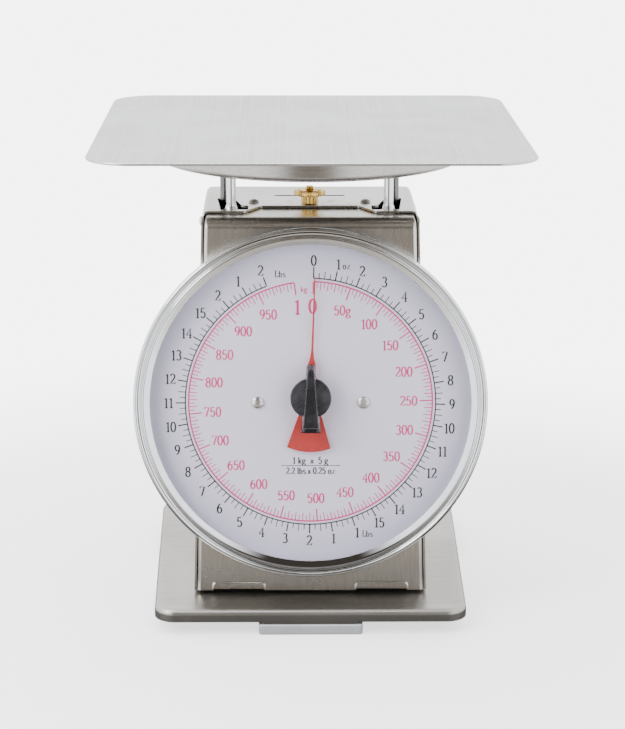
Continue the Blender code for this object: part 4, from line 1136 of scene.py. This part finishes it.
class Glyphs:
    """Upright numerals drawn with a broad nib: thick downstrokes, thin cross strokes, small serifs."""

    def __init__(self) -> None:
        """Sets out each sign's strokes in a box 1 high."""
        self.strokes: dict[str, list[list[Point]]] = {
            "0": [arc((0.27, 0.5), (0.21, 0.48), 0, 360, 24)],
            "1": [[(0.24, 0.02), (0.24, 0.97), (0.08, 0.84)], [(0.1, 0.02), (0.38, 0.02)]],
            "2": [arc((0.27, 0.72), (0.19, 0.25), 165, -30, 12) + [(0.06, 0.04), (0.48, 0.04), (0.5, 0.2)]],
            "3": [
                arc((0.26, 0.75), (0.17, 0.22), 150, -80, 12),
                arc((0.25, 0.27), (0.21, 0.25), 80, -150, 12),
            ],
            "4": [[(0.38, 0.02), (0.38, 0.97), (0.05, 0.3), (0.53, 0.3)], [(0.26, 0.02), (0.5, 0.02)]],
            "5": [
                [(0.45, 0.95), (0.14, 0.95), (0.1, 0.52)] + arc((0.26, 0.31), (0.2, 0.29), 125, -150, 14),
            ],
            "6": [arc((0.27, 0.3), (0.19, 0.28), 0, 360, 20), arc((0.45, 0.32), (0.38, 0.64), 180, 105, 8)],
            "7": [[(0.06, 0.8), (0.07, 0.95), (0.49, 0.95), (0.22, 0.02)]],
            "8": [arc((0.27, 0.75), (0.17, 0.22), 0, 360, 20), arc((0.27, 0.27), (0.2, 0.25), 0, 360, 20)],
            "9": [arc((0.27, 0.7), (0.19, 0.28), 0, 360, 20), arc((0.09, 0.68), (0.38, 0.64), 0, -75, 8)],
            "g": [arc((0.23, 0.42), (0.16, 0.19), 0, 360, 16), arc((0.25, -0.12), (0.2, 0.15), 0, 360, 16),
                  [(0.14, 0.26), (0.1, 0.12), (0.2, 0.03)], [(0.37, 0.52), (0.5, 0.6)]],
            "k": [[(0.12, 0.02), (0.12, 0.97)], [(0.44, 0.6), (0.14, 0.26)], [(0.24, 0.37), (0.46, 0.02)]],
            "b": [[(0.11, 0.02), (0.11, 0.97)], arc((0.27, 0.3), (0.17, 0.28), 0, 360, 16)],
            "l": [[(0.14, 0.02), (0.14, 0.97)], [(0.05, 0.02), (0.24, 0.02)]],
            "L": [[(0.06, 0.96), (0.26, 0.96)], [(0.16, 0.97), (0.16, 0.03), (0.5, 0.03), (0.53, 0.22)]],
            "o": [arc((0.25, 0.3), (0.19, 0.28), 0, 360, 16)],
            "s": [
                arc((0.22, 0.45), (0.14, 0.13), 30, 260, 10) + arc((0.22, 0.16), (0.16, 0.14), 80, -150, 10),
            ],
            "z": [[(0.06, 0.58), (0.42, 0.58), (0.06, 0.03), (0.45, 0.03)]],
            "x": [[(0.05, 0.6), (0.43, 0.02)], [(0.42, 0.6), (0.04, 0.02)]],
            ".": [[(0.12, 0.0), (0.12, 0.09)]],
            " ": [],
        }
        self.narrow = {"1": 0.46, "l": 0.3, ".": 0.24, " ": 0.3, "s": 0.42, "x": 0.5, "z": 0.5}
        self.advance = 0.58
        self.thick = 0.165
        self.thin = 0.10

    def width(self, text: str) -> float:
        """Advance of a line of text in heights."""
        return sum(self.narrow.get(sign, self.advance) for sign in text)

    def ribbon(self, bm: bmesh.types.BMesh, path: Sequence[Point], wide: Callable[[Vector], float]) -> None:
        """Draws one stroke as a flat strip at height 0."""
        points = [Vector(point) for point in path]
        closed = (points[0] - points[-1]).length < 1e-6
        rows = []
        for k, point in enumerate(points):
            before = points[k - 1] if k else (points[-2] if closed else point)
            after = points[k + 1] if k + 1 < len(points) else (points[1] if closed else point)
            along = (after - before).normalized()
            aside = Vector((-along.y, along.x)) * wide(along) / 2
            rows.append([bm.verts.new((*(point + aside), 0)), bm.verts.new((*(point - aside), 0))])
        for first, second in zip(rows, rows[1:]):
            bm.faces.new((first[0], first[1], second[1], second[0]))

    def write(
        self,
        bm: bmesh.types.BMesh,
        text: str,
        at: Point,
        height: float,
        squeeze: float = 1.02,
        bold: float = 1.0,
    ) -> None:
        """Writes one upright line centred on a point."""

        def nib(along: Vector) -> float:
            return bold * height * (self.thin + (self.thick - self.thin) * abs(along.y) ** 1.4)

        start = at[0] - self.width(text) * height * squeeze / 2
        bottom = at[1] - height / 2
        for sign in text:
            for stroke in self.strokes[sign]:
                path = [(start + x * height * squeeze, bottom + y * height) for x, y in stroke]
                self.ribbon(bm, path, nib)
            start += self.narrow.get(sign, self.advance) * height * squeeze


@dataclass
class DialFace:
    """The card with its print, the lens, the pan, the ring behind the lens and the rolled bezel."""

    glyphs: Glyphs = field(default_factory=Glyphs)
    card_radius: float = 78.8
    film: float = 0.035
    gram_sweep: float = 351.0
    offset: float = 1.3
    grams: int = 1000
    ounce_step: float = 9.95
    ounces: int = 34
    gram_ring: Point = (57.3, 58.0)
    ounce_ring: Point = (58.9, 59.5)
    gram_ticks: Sequence[tuple[int, float, float]] = ((50, 5.7, 0.62), (10, 3.7, 0.42), (5, 2.6, 0.38))
    label_at: float = 46.5
    ounce_at: float = 66.4
    note_at: Sequence[float] = (-28.0, -30.5, -33.0)
    note_half: float = 14.0
    shaft_hole: float = 2.6
    lens_radius: float = 78.5
    lens_depths: Point = (3.5, 5.0)
    round_steps: int = 160

    def build(self, axes: DialAxes) -> None:
        """Builds and dresses the whole sub-assembly."""
        self.card(axes)
        self.print_grams(axes)
        self.print_ounces(axes)
        self.lens(axes)
        self.bezel(axes)
        dress(("dial_pan",), STEEL_PLAIN)
        for side in Side:
            place = axes.centre @ Matrix.Translation(side.at(DIAL_SCREW_X, 0, GAP))
            CrossScrew(3.0, 1.2, 13.0, recess_half=0.36).make(f"dial_screw_{side.word}", place)

    def card(self, axes: DialAxes) -> None:
        """The printed card's blank."""
        card = Solid.rod(self.card_radius, -0.6, 0, self.round_steps)
        holes = [Solid.hole(SCREW_HOLE, -2, 1, side.at(DIAL_SCREW_X, 0)) for side in Side]
        card.minus(*holes, Solid.hole(self.shaft_hole, -2, 1, (0, axes.rise)))
        finish = PrintedCard(tuple(axes.centre_point * MM))
        fit("printed_card", card, finish, "root", ["dial_card"], axes.centre)

    def spot(self, turn: float, radius: float) -> Point:
        """The point at an angle clockwise from the top."""
        angle = math.radians(turn + self.offset)
        return (radius * math.sin(angle), radius * math.cos(angle))

    def stroke(self, bm: bmesh.types.BMesh, turn: float, radii: Point, wide: float) -> None:
        """A radial tick."""
        self.glyphs.ribbon(bm, [self.spot(turn, radii[0]), self.spot(turn, radii[1])], lambda _: wide)

    def band(self, bm: bmesh.types.BMesh, radii: Point, end: float) -> None:
        """A printed ring from the zero mark to an angle."""
        middle, wide = sum(radii) / 2, radii[1] - radii[0]
        path = [self.spot(end * k / 180, middle) for k in range(181)]
        self.glyphs.ribbon(bm, path, lambda _: wide)

    def finished(self, bm: bmesh.types.BMesh, name: str, finish: Finish, axes: DialAxes) -> None:
        """Gives the flat print the ink's thickness."""
        solid = Solid()
        grown = bmesh.ops.extrude_face_region(bm, geom=list(bm.faces))["geom"]
        lid = [item for item in grown if isinstance(item, bmesh.types.BMVert)]
        bmesh.ops.translate(bm, vec=(0, 0, self.film), verts=lid)
        bmesh.ops.recalc_face_normals(bm, faces=bm.faces)
        solid.bm = bm
        fit(name, solid, finish, "root", (), axes.centre)

    def print_grams(self, axes: DialAxes) -> None:
        """The inner red scale: ring, ticks and gram labels."""
        bm = bmesh.new()
        inner = self.gram_ring[0] + 0.1
        self.band(bm, self.gram_ring, self.gram_sweep)
        for value in range(0, self.grams + 1, 5):
            tall, wide = next(tick[1:] for tick in self.gram_ticks if value % tick[0] == 0)
            self.stroke(bm, self.gram_sweep * value / self.grams, (inner, inner - tall), wide)
        for value in range(50, self.grams, 50):
            label = f"{value}g" if value == 50 else str(value)
            spot = self.spot(self.gram_sweep * value / self.grams, self.label_at)
            self.glyphs.write(bm, label, spot, 4.7)
        for label, turn in (("0", 0.0), ("1", self.gram_sweep)):
            self.glyphs.write(bm, label, self.spot(turn, self.label_at - 0.5), 6.9)
        self.glyphs.write(bm, "kg", self.spot(355.4, 54.2), 2.8)
        self.finished(bm, "gram_scale", INK_RED, axes)

    def print_ounces(self, axes: DialAxes) -> None:
        """The outer black scale and the generic capacity note."""
        bm = bmesh.new()
        outer = self.ounce_ring[1] - 0.1
        self.band(bm, self.ounce_ring, self.ounce_step * self.ounces)
        lengths = {0: 4.3, 1: 2.4, 2: 3.3, 3: 2.4}
        for quarter in range(4 * self.ounces + 1):
            turn = self.ounce_step * quarter / 4
            tall = 5.3 if quarter == 0 else lengths[quarter % 4]
            self.stroke(bm, turn, (outer, outer + tall), 0.62 if quarter % 4 == 0 else 0.4)
        pound = 16
        for value in range(self.ounces + 1):
            turn, text = self.ounce_step * value, str(value % pound)
            if value and value % pound == 0:
                text = str(value // pound)
            x, y = self.spot(turn, self.ounce_at + (1.2 if value == 0 else 0.7))
            self.glyphs.write(bm, text, (x, y), 4.9)
            if value == 1:
                self.glyphs.write(bm, "oz", (x + 3.7, y - 0.7), 3.3)
            if value == pound:
                self.glyphs.write(bm, "Lbs", (x + 4.8, y - 0.6), 3.2)
        self.glyphs.write(bm, "Lbs", self.spot(345.5, 63), 3.2)
        above, rule, below = self.note_at
        self.glyphs.write(bm, "1 kg  x  5 g", (0, above), 3.3, bold=1.15)
        self.glyphs.ribbon(bm, [(-self.note_half, rule), (self.note_half, rule)], lambda _: 0.34)
        self.glyphs.write(bm, "2.2 lbs x 0.25 oz", (0, below), 3.2, squeeze=0.98, bold=1.15)
        self.finished(bm, "ounce_scale", INK_BLACK, axes)

    def lens(self, axes: DialAxes) -> None:
        """The clear lens and the light ring behind its rim."""
        soft, rim = 0.25, self.lens_radius
        back, front = self.lens_depths
        profile = [
            (0, back), (rim - soft, back), (rim, back + soft),
            (rim, front - soft), (rim - soft, front), (0, front),
        ]
        lens = Solid.turned(profile, self.round_steps, ring=False)
        lens.minus(Solid.rod(3.6, 2, 7, 48).moved(Matrix.Translation((0, axes.rise, 0))))
        fit("clear_lens", lens, ClearLens(), "root", ["lens"], axes.centre)
        ring = Solid.turned([(76.9, 0.3), (rim, 0.3), (rim, 3.2), (76.9, 3.2)], self.round_steps)
        fit("lens_spacer", ring, FOOT_GREY, "root", ["lens_ring"], axes.centre)

    def bezel(self, axes: DialAxes) -> None:
        """The spun bezel: cone, lip, crease, round outer roll and skirt."""
        outside = [
            (75.6, 5.35, 0), (75.8, 5.7, 0.15), (77.9, 6.65, 1.5), (79.1, 7.0, 0.9), (80.1, 5.6, 0.6),
            (81.0, 5.9, 0.5), (82.2, 7.2, 1.1), (83.6, 5.9, 1.6), (83.5, 2.6, 2.0), (81.8, 0.4, 1.5),
            (81.8, -5.6, 0),
        ]
        inside = [(80.9, -5.6, 0), (80.9, 4.6, 0.6), (79.6, 5.35, 0.4), (78.9, 5.9, 0.3), (77.0, 5.35, 0)]
        profile = filleted(outside, 6, closed=False) + filleted(inside, 3, closed=False)
        bezel = Solid.turned(profile, 220)
        fit("spun_bezel", bezel, CHROME, "root", ["bezel_ring"], axes.centre, angle=35)


# ---------------------------------------------------------------- pointer and knob


@dataclass
class PointerAndKnob:
    """The flat pointer with its boss, and the knob with its sleeve, stem and spring washer."""

    turn: float = math.radians(-2)
    disc_radius: float = 9.7
    disc_back: float = 7.4
    disc_front: float = 8.6
    ridge: float = 13.6
    socket: float = 2.2

    def build(self, axes: DialAxes) -> None:
        """Builds and dresses the whole sub-assembly."""
        self.pointer(axes)
        self.knob(axes)
        self.sleeve(axes)

    def pointer(self, axes: DialAxes) -> None:
        """Needle, neck, hub and fan tail from one sheet, and the brass boss that grips the shaft."""
        tail = arc((0, 0), (27, 27), -112.5, -67.5, 16)
        right = [
            (4.2, -5.5), (3.6, -2.5), (3.6, 3.5), (2.1, 10.5),
            (1.8, 15.4), (1.0, 18.2), (0.55, 22), (0.27, 56),
        ]
        outline = tail + right + [(0, 57.2)] + [(-x, y) for x, y in reversed(right)]
        sheet = Solid.slab(outline, 2.0, 2.4).softened(is_sharp(70), 0.08, 2)
        sheet.minus(Solid.rod(2.5, 1, 4, 32))
        place = axes.pivot @ Matrix.Rotation(self.turn, 4, "Z")
        fit("red_pointer", sheet, RED, "pointer", ["pointer"], place)
        profile = [(1.35, 0.5), (2.0, 0.5), (2.2, 0.7), (2.2, 2.75), (2.05, 2.9), (1.35, 2.9)]
        boss = Solid.turned(profile, 40)
        fit("turned_boss", boss, BRASS, "pointer", ["pointer_boss"], axes.pivot)

    def grip(self) -> Solid:
        """The tapered grip bar with soft edges and a pocket in its sloped lower end."""
        sections = [
            (self.disc_back + 0.05, 16.2, 2.0, -16.9, 4.9), (self.disc_front + 0.9, 15.9, 1.95, -16.2, 4.6),
            (self.ridge, 14.6, 1.45, -13.0, 3.6),
        ]
        solid = Solid()
        rows = []
        for level, top, top_half, bottom, bottom_half in sections:
            corners = [(-top_half, top), (top_half, top), (bottom_half, bottom), (-bottom_half, bottom)]
            rows.append([solid.bm.verts.new((x, y, level)) for x, y in corners])
        solid.bm.faces.new(rows[0])
        solid.bm.faces.new(rows[-1])
        for low, high in zip(rows, rows[1:]):
            for k in range(4):
                solid.bm.faces.new((low[k], low[(k + 1) % 4], high[(k + 1) % 4], high[k]))
        solid.closed_up()

        def nose(edge: bmesh.types.BMEdge) -> bool:
            first, second = (vert.co for vert in edge.verts)
            return min(first.y, second.y) > 14 and abs(first.z - second.z) > 0.5

        solid.softened(nose, 1.2, 5)
        solid.softened(is_sharp(30), 0.45, 4)
        outline = [(-3.6, -19), (3.6, -19), (2.9, -9.5), (-2.9, -9.5)]
        pocket = Solid.slab(outline, self.disc_back + 0.8, self.ridge - 0.9)
        pocket.softened(is_sharp(60), 0.6, 3)
        return solid.minus(pocket)

    def knob(self, axes: DialAxes) -> None:
        """The turned disc and the grip moulded with it, and the stem in its socket."""
        back, front, radius = self.disc_back, self.disc_front, self.disc_radius
        corners = [
            (0, back, 0), (radius, back, 0.3), (radius, front, 0.35), (radius - 1.0, front, 0.2),
            (radius - 1.15, front - 0.22, 0.15), (0, front - 0.22, 0),
        ]
        disc = Solid.turned(filleted(corners, 4, closed=False), 96, ring=False)
        disc.minus(Solid.rod(self.socket, back - 1, back + 3))
        # The disc's greyer plastic is painted sheen.
        fit("knob_disc", disc, KNOB_PLASTIC_PAINTED_SHEEN, "knob", ["knob"], axes.pivot)
        grip = self.grip().minus(Solid.rod(self.socket, back - 1, back + 3))
        fit("knob_grip", grip, BLACK, "knob", (), axes.pivot)
        profile = [(0, 4.4), (1.7, 4.4), (1.9, 4.7), (1.9, 9.9), (1.7, 10.1), (0, 10.1)]
        stem = Solid.turned(profile, 32, ring=False)
        fit("moulded_stem", stem, BLACK, "knob", ["knob_stem"], axes.pivot)

    def sleeve(self, axes: DialAxes) -> None:
        """The flanged sleeve in the lens and the wave washer round it."""
        corners = [
            (2.05, 3.2, 0), (3.3, 3.2, 0.2), (3.3, 5.3, 0), (4.6, 5.3, 0.1), (4.6, 5.9, 0.2), (2.05, 5.9, 0),
        ]
        sleeve = Solid.turned(filleted(corners, 3), 48)
        fit("flanged_sleeve", sleeve, BLACK, "knob_sleeve", ["knob_sleeve"], axes.pivot)
        washer = Solid.turned([(4.9, 5.3), (6.5, 5.3), (6.5, 5.6), (4.9, 5.6)], 64)
        fit("wave_washer", washer, WIRE, "root", ["knob_spring"], axes.pivot)


# ---------------------------------------------------------------- zero adjuster and movement


@dataclass
class ZeroAdjuster:
    """The brass thumb nut, the threaded stud it draws and the hanger for the springs."""

    hub: float = 4.2
    disc: float = 7.65
    bore: float = 2.15
    low: float = 193.8
    mid: float = 197.8
    top: float = 200.4
    serrations: int = 44
    facets: int = 22
    thread_pitch: float = 0.7
    thread_crest: float = 2.0
    thread_root: float = 1.72
    thread_start: float = 190

    def build(self) -> None:
        """Builds and dresses the whole sub-assembly."""
        self.nut()
        self.stud()
        dress(("spring_hanger",), STEEL_PLAIN)

    def toothed(
        self, radius: float, depth: float, count: int, low: float, high: float, soft: float
    ) -> Solid:
        """A knurled ring: a shallow notch between rounded teeth, with chamfered ends.

        Args:
            radius: Over the teeth.
            depth: Depth of the notches.
            count: How many teeth.
            low: Lower face.
            high: Upper face.
            soft: Chamfer at both faces.

        Returns:
            The closed solid, without its bore.
        """
        solid = Solid()
        per_tooth = 6
        steps = count * per_tooth
        levels = [(low, soft), (low + soft, 0), (high - soft, 0), (high, soft)]
        rows = []
        for level, less in levels:
            row = []
            for k in range(steps):
                angle = math.tau * k / steps
                notch = depth * (0.5 + 0.5 * math.cos(math.tau * k / per_tooth)) ** 2
                reach = min(radius - notch, radius - less)
                row.append(solid.bm.verts.new((reach * math.cos(angle), reach * math.sin(angle), level)))
            rows.append(row)
        for first, second in zip(rows, rows[1:]):
            for k in range(steps):
                j = (k + 1) % steps
                solid.bm.faces.new((first[k], first[j], second[j], second[k]))
        solid.bm.faces.new(list(reversed(rows[0])))
        solid.bm.faces.new(rows[-1])
        bmesh.ops.recalc_face_normals(solid.bm, faces=solid.bm.faces)
        return solid

    def nut(self) -> None:
        """The nut: a knurled hub under a serrated disc with a turned face."""
        hub = self.toothed(self.hub, 0.28, self.facets, self.low, self.mid + 0.4, 0.25)
        disc = self.toothed(self.disc, 0.35, self.serrations, self.mid, self.top - 0.45, 0.35)
        floor = self.mid + 1
        profile = [(0, floor), (5.9, floor), (5.9, self.top - 0.3), (5.5, self.top), (0, self.top)]
        face = Solid.turned(profile, 96, ring=False)
        nut = disc.plus(hub, face)
        nut.minus(Solid.rod(self.bore, self.low - 1, self.top + 1, 48))
        fit("knurled_nut", nut, BRASS, "zero_nut", ["zero_nut"], angle=30)

    def stud(self) -> None:
        """The stud with a rolled thread over its upper part."""
        low, high = span("zero_stud")
        crest, root, start = self.thread_crest, self.thread_root, self.thread_start
        profile: list[Point] = [(0, low.z), (crest - 0.25, low.z), (crest, low.z + 0.25), (crest, start)]
        count = int((high.z - 0.5 - start) / self.thread_pitch)
        for k in range(count):
            level = start + self.thread_pitch * k
            profile += [(root, level + self.thread_pitch * 0.5), (crest, level + self.thread_pitch)]
        profile += [(crest - 0.4, high.z), (0, high.z)]
        stud = Solid.turned(profile, 40, ring=False)
        fit("threaded_stud", stud, BRASS, "zero_stud", ["zero_stud"])


@dataclass
class Movement:
    """The sprung carriage, rack, pinion and stays, which keep their CAD shapes, and the coil springs."""

    spring_x: float = 14.0
    coil: float = 4.0
    wire: float = 0.5
    hook: float = 2.4
    low: float = 107.3
    high: float = 176.7
    coil_low: float = 112.2
    coil_high: float = 171.8
    turns: int = 26
    steel: Sequence[str] = (
        "carrier_top", "carrier_side_left", "carrier_side_right", "carrier_crossbar", "rack_bracket",
        "gear_bracket", "rear_bracket", "upper_stay", "lower_stay",
    )
    bright: Sequence[str] = (
        "rear_pin_upper", "rear_pin_lower", "stay_pin_upper", "stay_pin_lower", "pinion_shaft",
    )
    turned: Sequence[str] = ("rack", "front_bush", "rear_bush")

    def build(self) -> None:
        """Builds and dresses the whole sub-assembly."""
        dress(self.steel, STEEL_PLAIN)
        dress(self.bright, PLATED_SCREW)
        dress(self.turned, BRASS)
        for side in Side:
            self.spring(side)

    def path(self) -> list[tuple[float, float, float]]:
        """The wire's centre line: lower hook, coil, upper hook."""
        hook = [(0.0, *point) for point in arc((0, self.low), (self.hook, self.hook), -180, 90, 14)]
        per_turn = 16
        count = self.turns * per_turn
        coil = []
        for k in range(count + 1):
            angle = -math.pi / 2 + math.tau * k / per_turn
            grow = min(1.0, k / per_turn, (count - k) / per_turn)
            reach = self.coil * (0.35 + 0.65 * grow)
            height = self.coil_low + (self.coil_high - self.coil_low) * k / count
            coil.append((reach * math.cos(angle), reach * math.sin(angle), height))
        upper = [(0.0, *point) for point in arc((0, self.high), (self.hook, self.hook), -90, 180, 14)]
        return hook + coil + upper

    def spring(self, side: Side) -> None:
        """One extension spring between the hanger and the carriage's crossbar."""
        curve = bpy.data.curves.new("wire", "CURVE")
        curve.dimensions = "3D"
        curve.bevel_depth = self.wire
        curve.bevel_resolution = 2
        curve.use_fill_caps = True
        points = self.path()
        spline = curve.splines.new("POLY")
        spline.points.add(len(points) - 1)
        for point, place in zip(spline.points, points):
            point.co = (*place, 1)
        helper = bpy.data.objects.new("wire", curve)
        bpy.context.scene.collection.objects.link(helper)
        bpy.context.view_layer.update()
        mesh = bpy.data.meshes.new_from_object(helper.evaluated_get(bpy.context.evaluated_depsgraph_get()))
        bpy.data.objects.remove(helper)
        bpy.data.curves.remove(curve)
        mesh.name = f"coil_spring_{side.word}"
        mesh.transform(Matrix.Scale(MM, 4) @ Matrix.Translation((side.value * self.spring_x, 0, 0)))
        mesh.shade_smooth()
        mesh.materials.clear()
        mesh.materials.append(WIRE.material())
        piece = bpy.data.objects.new(f"coil_spring_{side.word}", mesh)
        bpy.context.scene.collection.objects.link(piece)
        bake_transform(piece)
        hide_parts(f"spring_{side.word}")
        log.info("%s: %d faces between root and carrier", piece.name, len(mesh.polygons))


# ---------------------------------------------------------------- studio


@dataclass
class Studio:
    """A pale sweep, a soft overhead light and a room that is dim in front and bright elsewhere."""

    eye: Sequence[float] = (-0.01257, -0.98406, 0.39147)
    yaw: float = math.radians(0.821)
    pitch: float = math.radians(15.833)
    roll: float = math.radians(-0.137)
    lens: float = 102.22
    room: Colour = (0.93, 0.96, 1.0)
    room_strength: float = 2.5
    dim: Colour = (0.36, 0.315, 0.265)
    gloom: Colour = (0.06, 0.052, 0.045)
    floor: Colour = (0.86, 0.855, 0.85)
    floor_seen_in_metal: Colour = (0.38, 0.35, 0.31)
    # Painted shadow: the floor's colour near the scale, as reflections and bounced light see it.
    floor_near: Colour = (0.03, 0.028, 0.03)
    band_depth: Point = (-0.5, -0.22)
    band_half: Point = (0.2, 0.45)
    gloom_height: Point = (0.0, 0.22)
    backdrop: float = 6.0
    floor_fade: Point = (0.2, 0.45)
    near_fade: Point = (0.15, 0.26)
    floor_glow: float = 1.8
    aim: Sequence[float] = (0, 0, 0.1)

    def build(self) -> None:
        """Sets the world, the floor, the light and the camera."""
        self.world()
        self.sweep()
        self.area("overhead", (-0.25, 0.05, 1.1), 0.9, 9.0, (1, 1, 1))
        self.area("key", (-0.9, -0.6, 0.9), 0.5, 9.0, (1, 0.99, 0.97))
        self.camera()

    def world(self) -> None:
        """A bright room with a dim band in front, darker above the horizon; cameras see a white backdrop."""
        world = bpy.data.worlds.new("room")
        bpy.context.scene.world = world
        world.use_nodes = True
        graph = Nodes(world.node_tree)
        nodes, links = graph.nodes, graph.links
        out = nodes["World Output"]
        reflected = nodes["Background"]
        place = nodes.new("ShaderNodeTexCoord").outputs["Generated"]
        split = nodes.new("ShaderNodeSeparateXYZ")
        links.new(place, split.inputs[0])
        across, depth, height = split.outputs
        in_front = graph.ranged(depth, *self.band_depth, 1, 0)
        in_band = graph.ranged(graph.math("ABSOLUTE", across), *self.band_half, 1, 0)
        ahead = graph.math("MULTIPLY", in_front, in_band)
        bright = tuple(self.room_strength * part for part in self.room)
        gap = graph.blended(graph.ranged(height, *self.gloom_height, 0, 1), self.dim, self.gloom)
        links.new(graph.blended(ahead, bright, gap), reflected.inputs["Color"])
        reflected.inputs["Strength"].default_value = 1.0
        backdrop = nodes.new("ShaderNodeBackground")
        backdrop.inputs["Color"].default_value = (1, 1, 1, 1)
        backdrop.inputs["Strength"].default_value = self.backdrop
        seen = nodes.new("ShaderNodeLightPath").outputs["Is Camera Ray"]
        both = nodes.new("ShaderNodeMixShader")
        links.new(seen, both.inputs[0])
        links.new(reflected.outputs[0], both.inputs[1])
        links.new(backdrop.outputs[0], both.inputs[2])
        links.new(both.outputs[0], out.inputs["Surface"])

    def sweep(self) -> None:
        """A pale disc under the scale that fades into the backdrop; to rays other than the camera's it is
        darker, and nearly black near the scale as painted shadow.
        """
        graph = Graph("sweep")
        distance = graph.nodes.new("ShaderNodeVectorMath")
        distance.operation = "LENGTH"
        graph.links.new(graph.place, distance.inputs[0])
        graph.feed("Alpha", graph.ranged(distance.outputs["Value"], *self.floor_fade, 1.0, 0.0))
        seen = graph.nodes.new("ShaderNodeLightPath").outputs["Is Camera Ray"]
        # Painted shadow: to rays other than the camera's, the floor turns nearly black near the scale.
        away = graph.ranged(distance.outputs["Value"], *self.near_fade, 0.0, 1.0)
        reflected = graph.blended(away, self.floor_near, self.floor_seen_in_metal)
        graph.feed("Base Color", graph.blended(seen, reflected, self.floor))
        graph.feed("Emission Strength", graph.math("MULTIPLY", seen, self.floor_glow))
        graph.set(Roughness=0.75, Emission_Color=self.floor)
        mesh = bpy.data.meshes.new("sweep")
        bm = bmesh.new()
        bmesh.ops.create_circle(bm, cap_ends=True, segments=96, radius=1.3)
        bm.to_mesh(mesh)
        bm.free()
        mesh.materials.append(graph.material)
        floor = bpy.data.objects.new("sweep", mesh)
        bpy.context.scene.collection.objects.link(floor)

    def area(self, name: str, at: Sequence[float], size: float, power: float, colour: Colour) -> None:
        """One square soft light, turned to the scale."""
        data = bpy.data.lights.new(name, "AREA")
        data.size = size
        data.energy = power
        data.color = colour
        lamp = bpy.data.objects.new(name, data)
        lamp.location = at
        lamp.rotation_euler = (Vector(self.aim) - Vector(at)).to_track_quat("-Z", "Y").to_euler()
        bpy.context.scene.collection.objects.link(lamp)

    def camera(self) -> None:
        """The viewpoint."""
        yaw, pitch, roll = self.yaw, self.pitch, self.roll
        ahead = Vector((math.sin(yaw) * math.cos(pitch), math.cos(yaw) * math.cos(pitch), -math.sin(pitch)))
        right = Vector((math.cos(yaw), -math.sin(yaw), 0))
        down = ahead.cross(right)
        across = math.cos(roll) * right + math.sin(roll) * down
        below = math.cos(roll) * down - math.sin(roll) * right
        data = bpy.data.cameras.new("viewpoint")
        data.lens = self.lens
        data.sensor_width = 36
        data.clip_start = 0.01
        camera = bpy.data.objects.new("viewpoint", data)
        turned = Matrix((across, -below, -ahead)).transposed().to_4x4()
        camera.matrix_world = Matrix.Translation(self.eye) @ turned
        bpy.context.scene.collection.objects.link(camera)
        bpy.context.scene.camera = camera


# ---------------------------------------------------------------- assembly


def main() -> None:
    """Builds the scale and its studio."""
    logging.basicConfig(level=logging.INFO, format="%(message)s")
    axes = DialAxes()
    LoadPlate().build()
    Case().build(axes)
    PressedBase().build()
    DialFace().build(axes)
    PointerAndKnob().build(axes)
    ZeroAdjuster().build()
    Movement().build()
    Studio().build()


if __name__ == "__main__":
    main()
